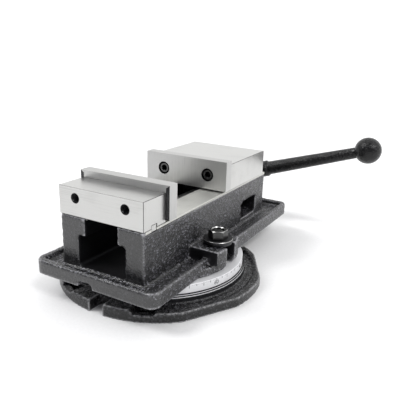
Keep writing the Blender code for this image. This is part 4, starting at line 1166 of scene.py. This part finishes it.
# %% Crank
crank_y = middle("crank_ball").y
ball_x, _, ball_z = middle("crank_ball")
CRANK_RISE = math.atan2(ball_z - SCREW_Z, ball_x)
CRANK_LENGTH = math.hypot(ball_x, ball_z - SCREW_Z)
BALL_RADIUS = (edges("crank_ball")[3] - edges("crank_ball")[2]) / 2
HUB_FRONT, HUB_REAR = edges("crank_handle")[2:4]
HUB_RADIUS = 16.0


def along_arm(obj):
    """Lays a shape made along +Z from the origin along the crank's arm."""
    lie = Matrix.Rotation(math.pi / 2 - CRANK_RISE, 4, "Y")
    obj.data.transform(Matrix.Translation(Vector((0, crank_y, SCREW_Z)) * MM) @ lie)
    return obj


hub = [(0, HUB_FRONT), (HUB_RADIUS - 2, HUB_FRONT), (HUB_RADIUS - 0.6, HUB_FRONT + 0.6),
       (HUB_RADIUS, HUB_FRONT + 2), (HUB_RADIUS, HUB_REAR - 2), (HUB_RADIUS - 0.6, HUB_REAR - 0.6),
       (HUB_RADIUS - 2, HUB_REAR), (0, HUB_REAR)]
crank = turned(hub, "Y", (0, SCREW_Z), 96, "crank_casting")
arm = [(0, 4), (9, 4), (11, 17), (11, 28.4), (10.4, 29.2), (9.3, 30), (9.2, 31),
       (6.9, CRANK_LENGTH - 13), (4, CRANK_LENGTH - 12), (4, CRANK_LENGTH), (0, CRANK_LENGTH)]
carve(crank, "UNION", along_arm(turned(arm, steps=96)))
carve(crank, "DIFFERENCE", prism(hexagon(14.6, (0, SCREW_Z), 30), HUB_FRONT - 1, HUB_REAR + 1, "Y"))
cast_skin(crank, 0.85, 3)


def crank_rawness(point, normal):
    """Smooth in the hexagon and where the ball is fitted, lightly rough elsewhere."""
    along = math.hypot(point.x, point.z - SCREW_Z)
    if abs(point.y - crank_y) > 18.5 and along < 10 or along > CRANK_LENGTH - 18:
        return 0.0
    return 0.7


roughen(crank, 0.3, crank_rawness)
place_piece(crank, "crank", crank_paint, "black_cast_paint", "crank_handle")

ball = [(7.4, CRANK_LENGTH - math.sqrt(BALL_RADIUS ** 2 - 7.4 ** 2))]
ball += arc((0, CRANK_LENGTH), BALL_RADIUS, -60, 85, 29)
ball += [(0, CRANK_LENGTH + BALL_RADIUS), (0, CRANK_LENGTH + 1), (4.3, CRANK_LENGTH + 1),
         (4.3, CRANK_LENGTH - 11.7), (7.4, CRANK_LENGTH - 12.7)]
ball = along_arm(turned(ball, steps=72, name="ball_knob"))
crisp(ball)
roughen(ball, 0.2, lambda point, normal: 0.4)
place_piece(ball, "crank", crank_paint, "black_cast_paint", "crank_ball")

# %% [markdown]
# ## What stays from the working model
#
# The nut, the half ball and the two set screws are right as they are. They only get a finish.

# %% Finish the remaining nodes
for node, material in (("jaw_nut", iron), ("half_ball", bright_steel), ("jaw_set_screw", oxide),
                       ("collar_set_screw", oxide)):
    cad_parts[node].data.materials.clear()
    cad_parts[node].data.materials.append(material)
    print(node, "keeps its mesh and gets", material.name)

# %% [markdown]
# ## Studio
#
# Polished faces show what stands round them, so the studio matters as much as the metal: a white floor,
# a white world that is greyer towards the camera, and two lamps so far away that they light the whole
# floor evenly.

# %% Floor
half = 6.0
floor_mesh = bpy.data.meshes.new("floor")
floor_mesh.from_pydata([(x, y, 0) for x, y in rectangle(-half, half, -half, half)], [], [(0, 1, 2, 3)])
floor = new_object("floor", floor_mesh)
paper, add, shader, place = start_material("white paper sweep")
tooth = add(NOISE, {"Vector": place, "Scale": 1 / (3 * MM)})["Fac"]
set_inputs(shader, {"Base Color": add(RAMP, (tooth,), ((0.3, "f4f4f4"), (0.7, "f8f8f8")))["Color"],
                    "Roughness": 0.9, "Specular IOR Level": 0.1})
floor_mesh.materials.append(paper)
print("floor", 2 * half, "m wide, in", paper.name)

# %% World
world = bpy.data.worlds.new("studio")
bpy.context.scene.world = world
world.use_nodes = True
add = partial(add_node, world.node_tree)
around = add("ShaderNodeTexCoord")["Generated"]
back_wall = add(RANGE, (add("ShaderNodeSeparateXYZ", (around,))["Y"], -0.4, 0.3))[0]
sky = add(RAMP, (back_wall,), ((0.0, "85858a"), (1.0, "ffffff")))["Color"]
set_inputs(world.node_tree.nodes["Background"], {"Color": sky, "Strength": 1.12})
print("world:", world.name)

# %% [markdown]
# A sun's angle is how wide its disc looks. Twenty degrees makes soft shadows, as a lamp behind paper does.

# %% Lights


def far_lamp(name, toward, strength, spread):
    """A large lamp far away, so that it lights the floor evenly: a sun with a wide disc."""
    data = bpy.data.lights.new(name, "SUN")
    data.energy = strength
    data.angle = math.radians(spread)
    lamp = new_object(name, data)
    lamp.rotation_euler = Vector(toward).to_track_quat("-Z", "Y").to_euler()


far_lamp("key", (0.75, 0.55, -1.1), 1.45, 20)
far_lamp("fill", (-0.85, 0.35, -1.0), 1.15, 20)
print("lamps:", [light.name for light in bpy.data.lights])

# %% [markdown]
# The camera stands low at the right of the fixed jaw, close enough for the sides to draw together a little.

# %% Camera
camera_data = bpy.data.cameras.new("camera")
camera_data.lens = 44.36
camera_data.sensor_width = 36.0
camera = new_object("camera", camera_data)
spot, aim, roll = Vector((275.0, -406.6, 236.2)) * MM, Vector((0, 80, 60)) * MM, math.radians(1.62)
forward = (aim - spot).normalized()
right = forward.cross(Vector((0, 0, 1))).normalized()
up = right.cross(forward)
right, up = right * math.cos(roll) + up * math.sin(roll), up * math.cos(roll) - right * math.sin(roll)
camera.matrix_world = Matrix.Translation(spot) @ Matrix((right, up, -forward)).transposed().to_4x4()
bpy.context.scene.camera = camera
bpy.context.scene.view_settings.view_transform = "Standard"
print("camera", round((aim - spot).length / MM), "mm from what it looks at, lens", camera_data.lens)
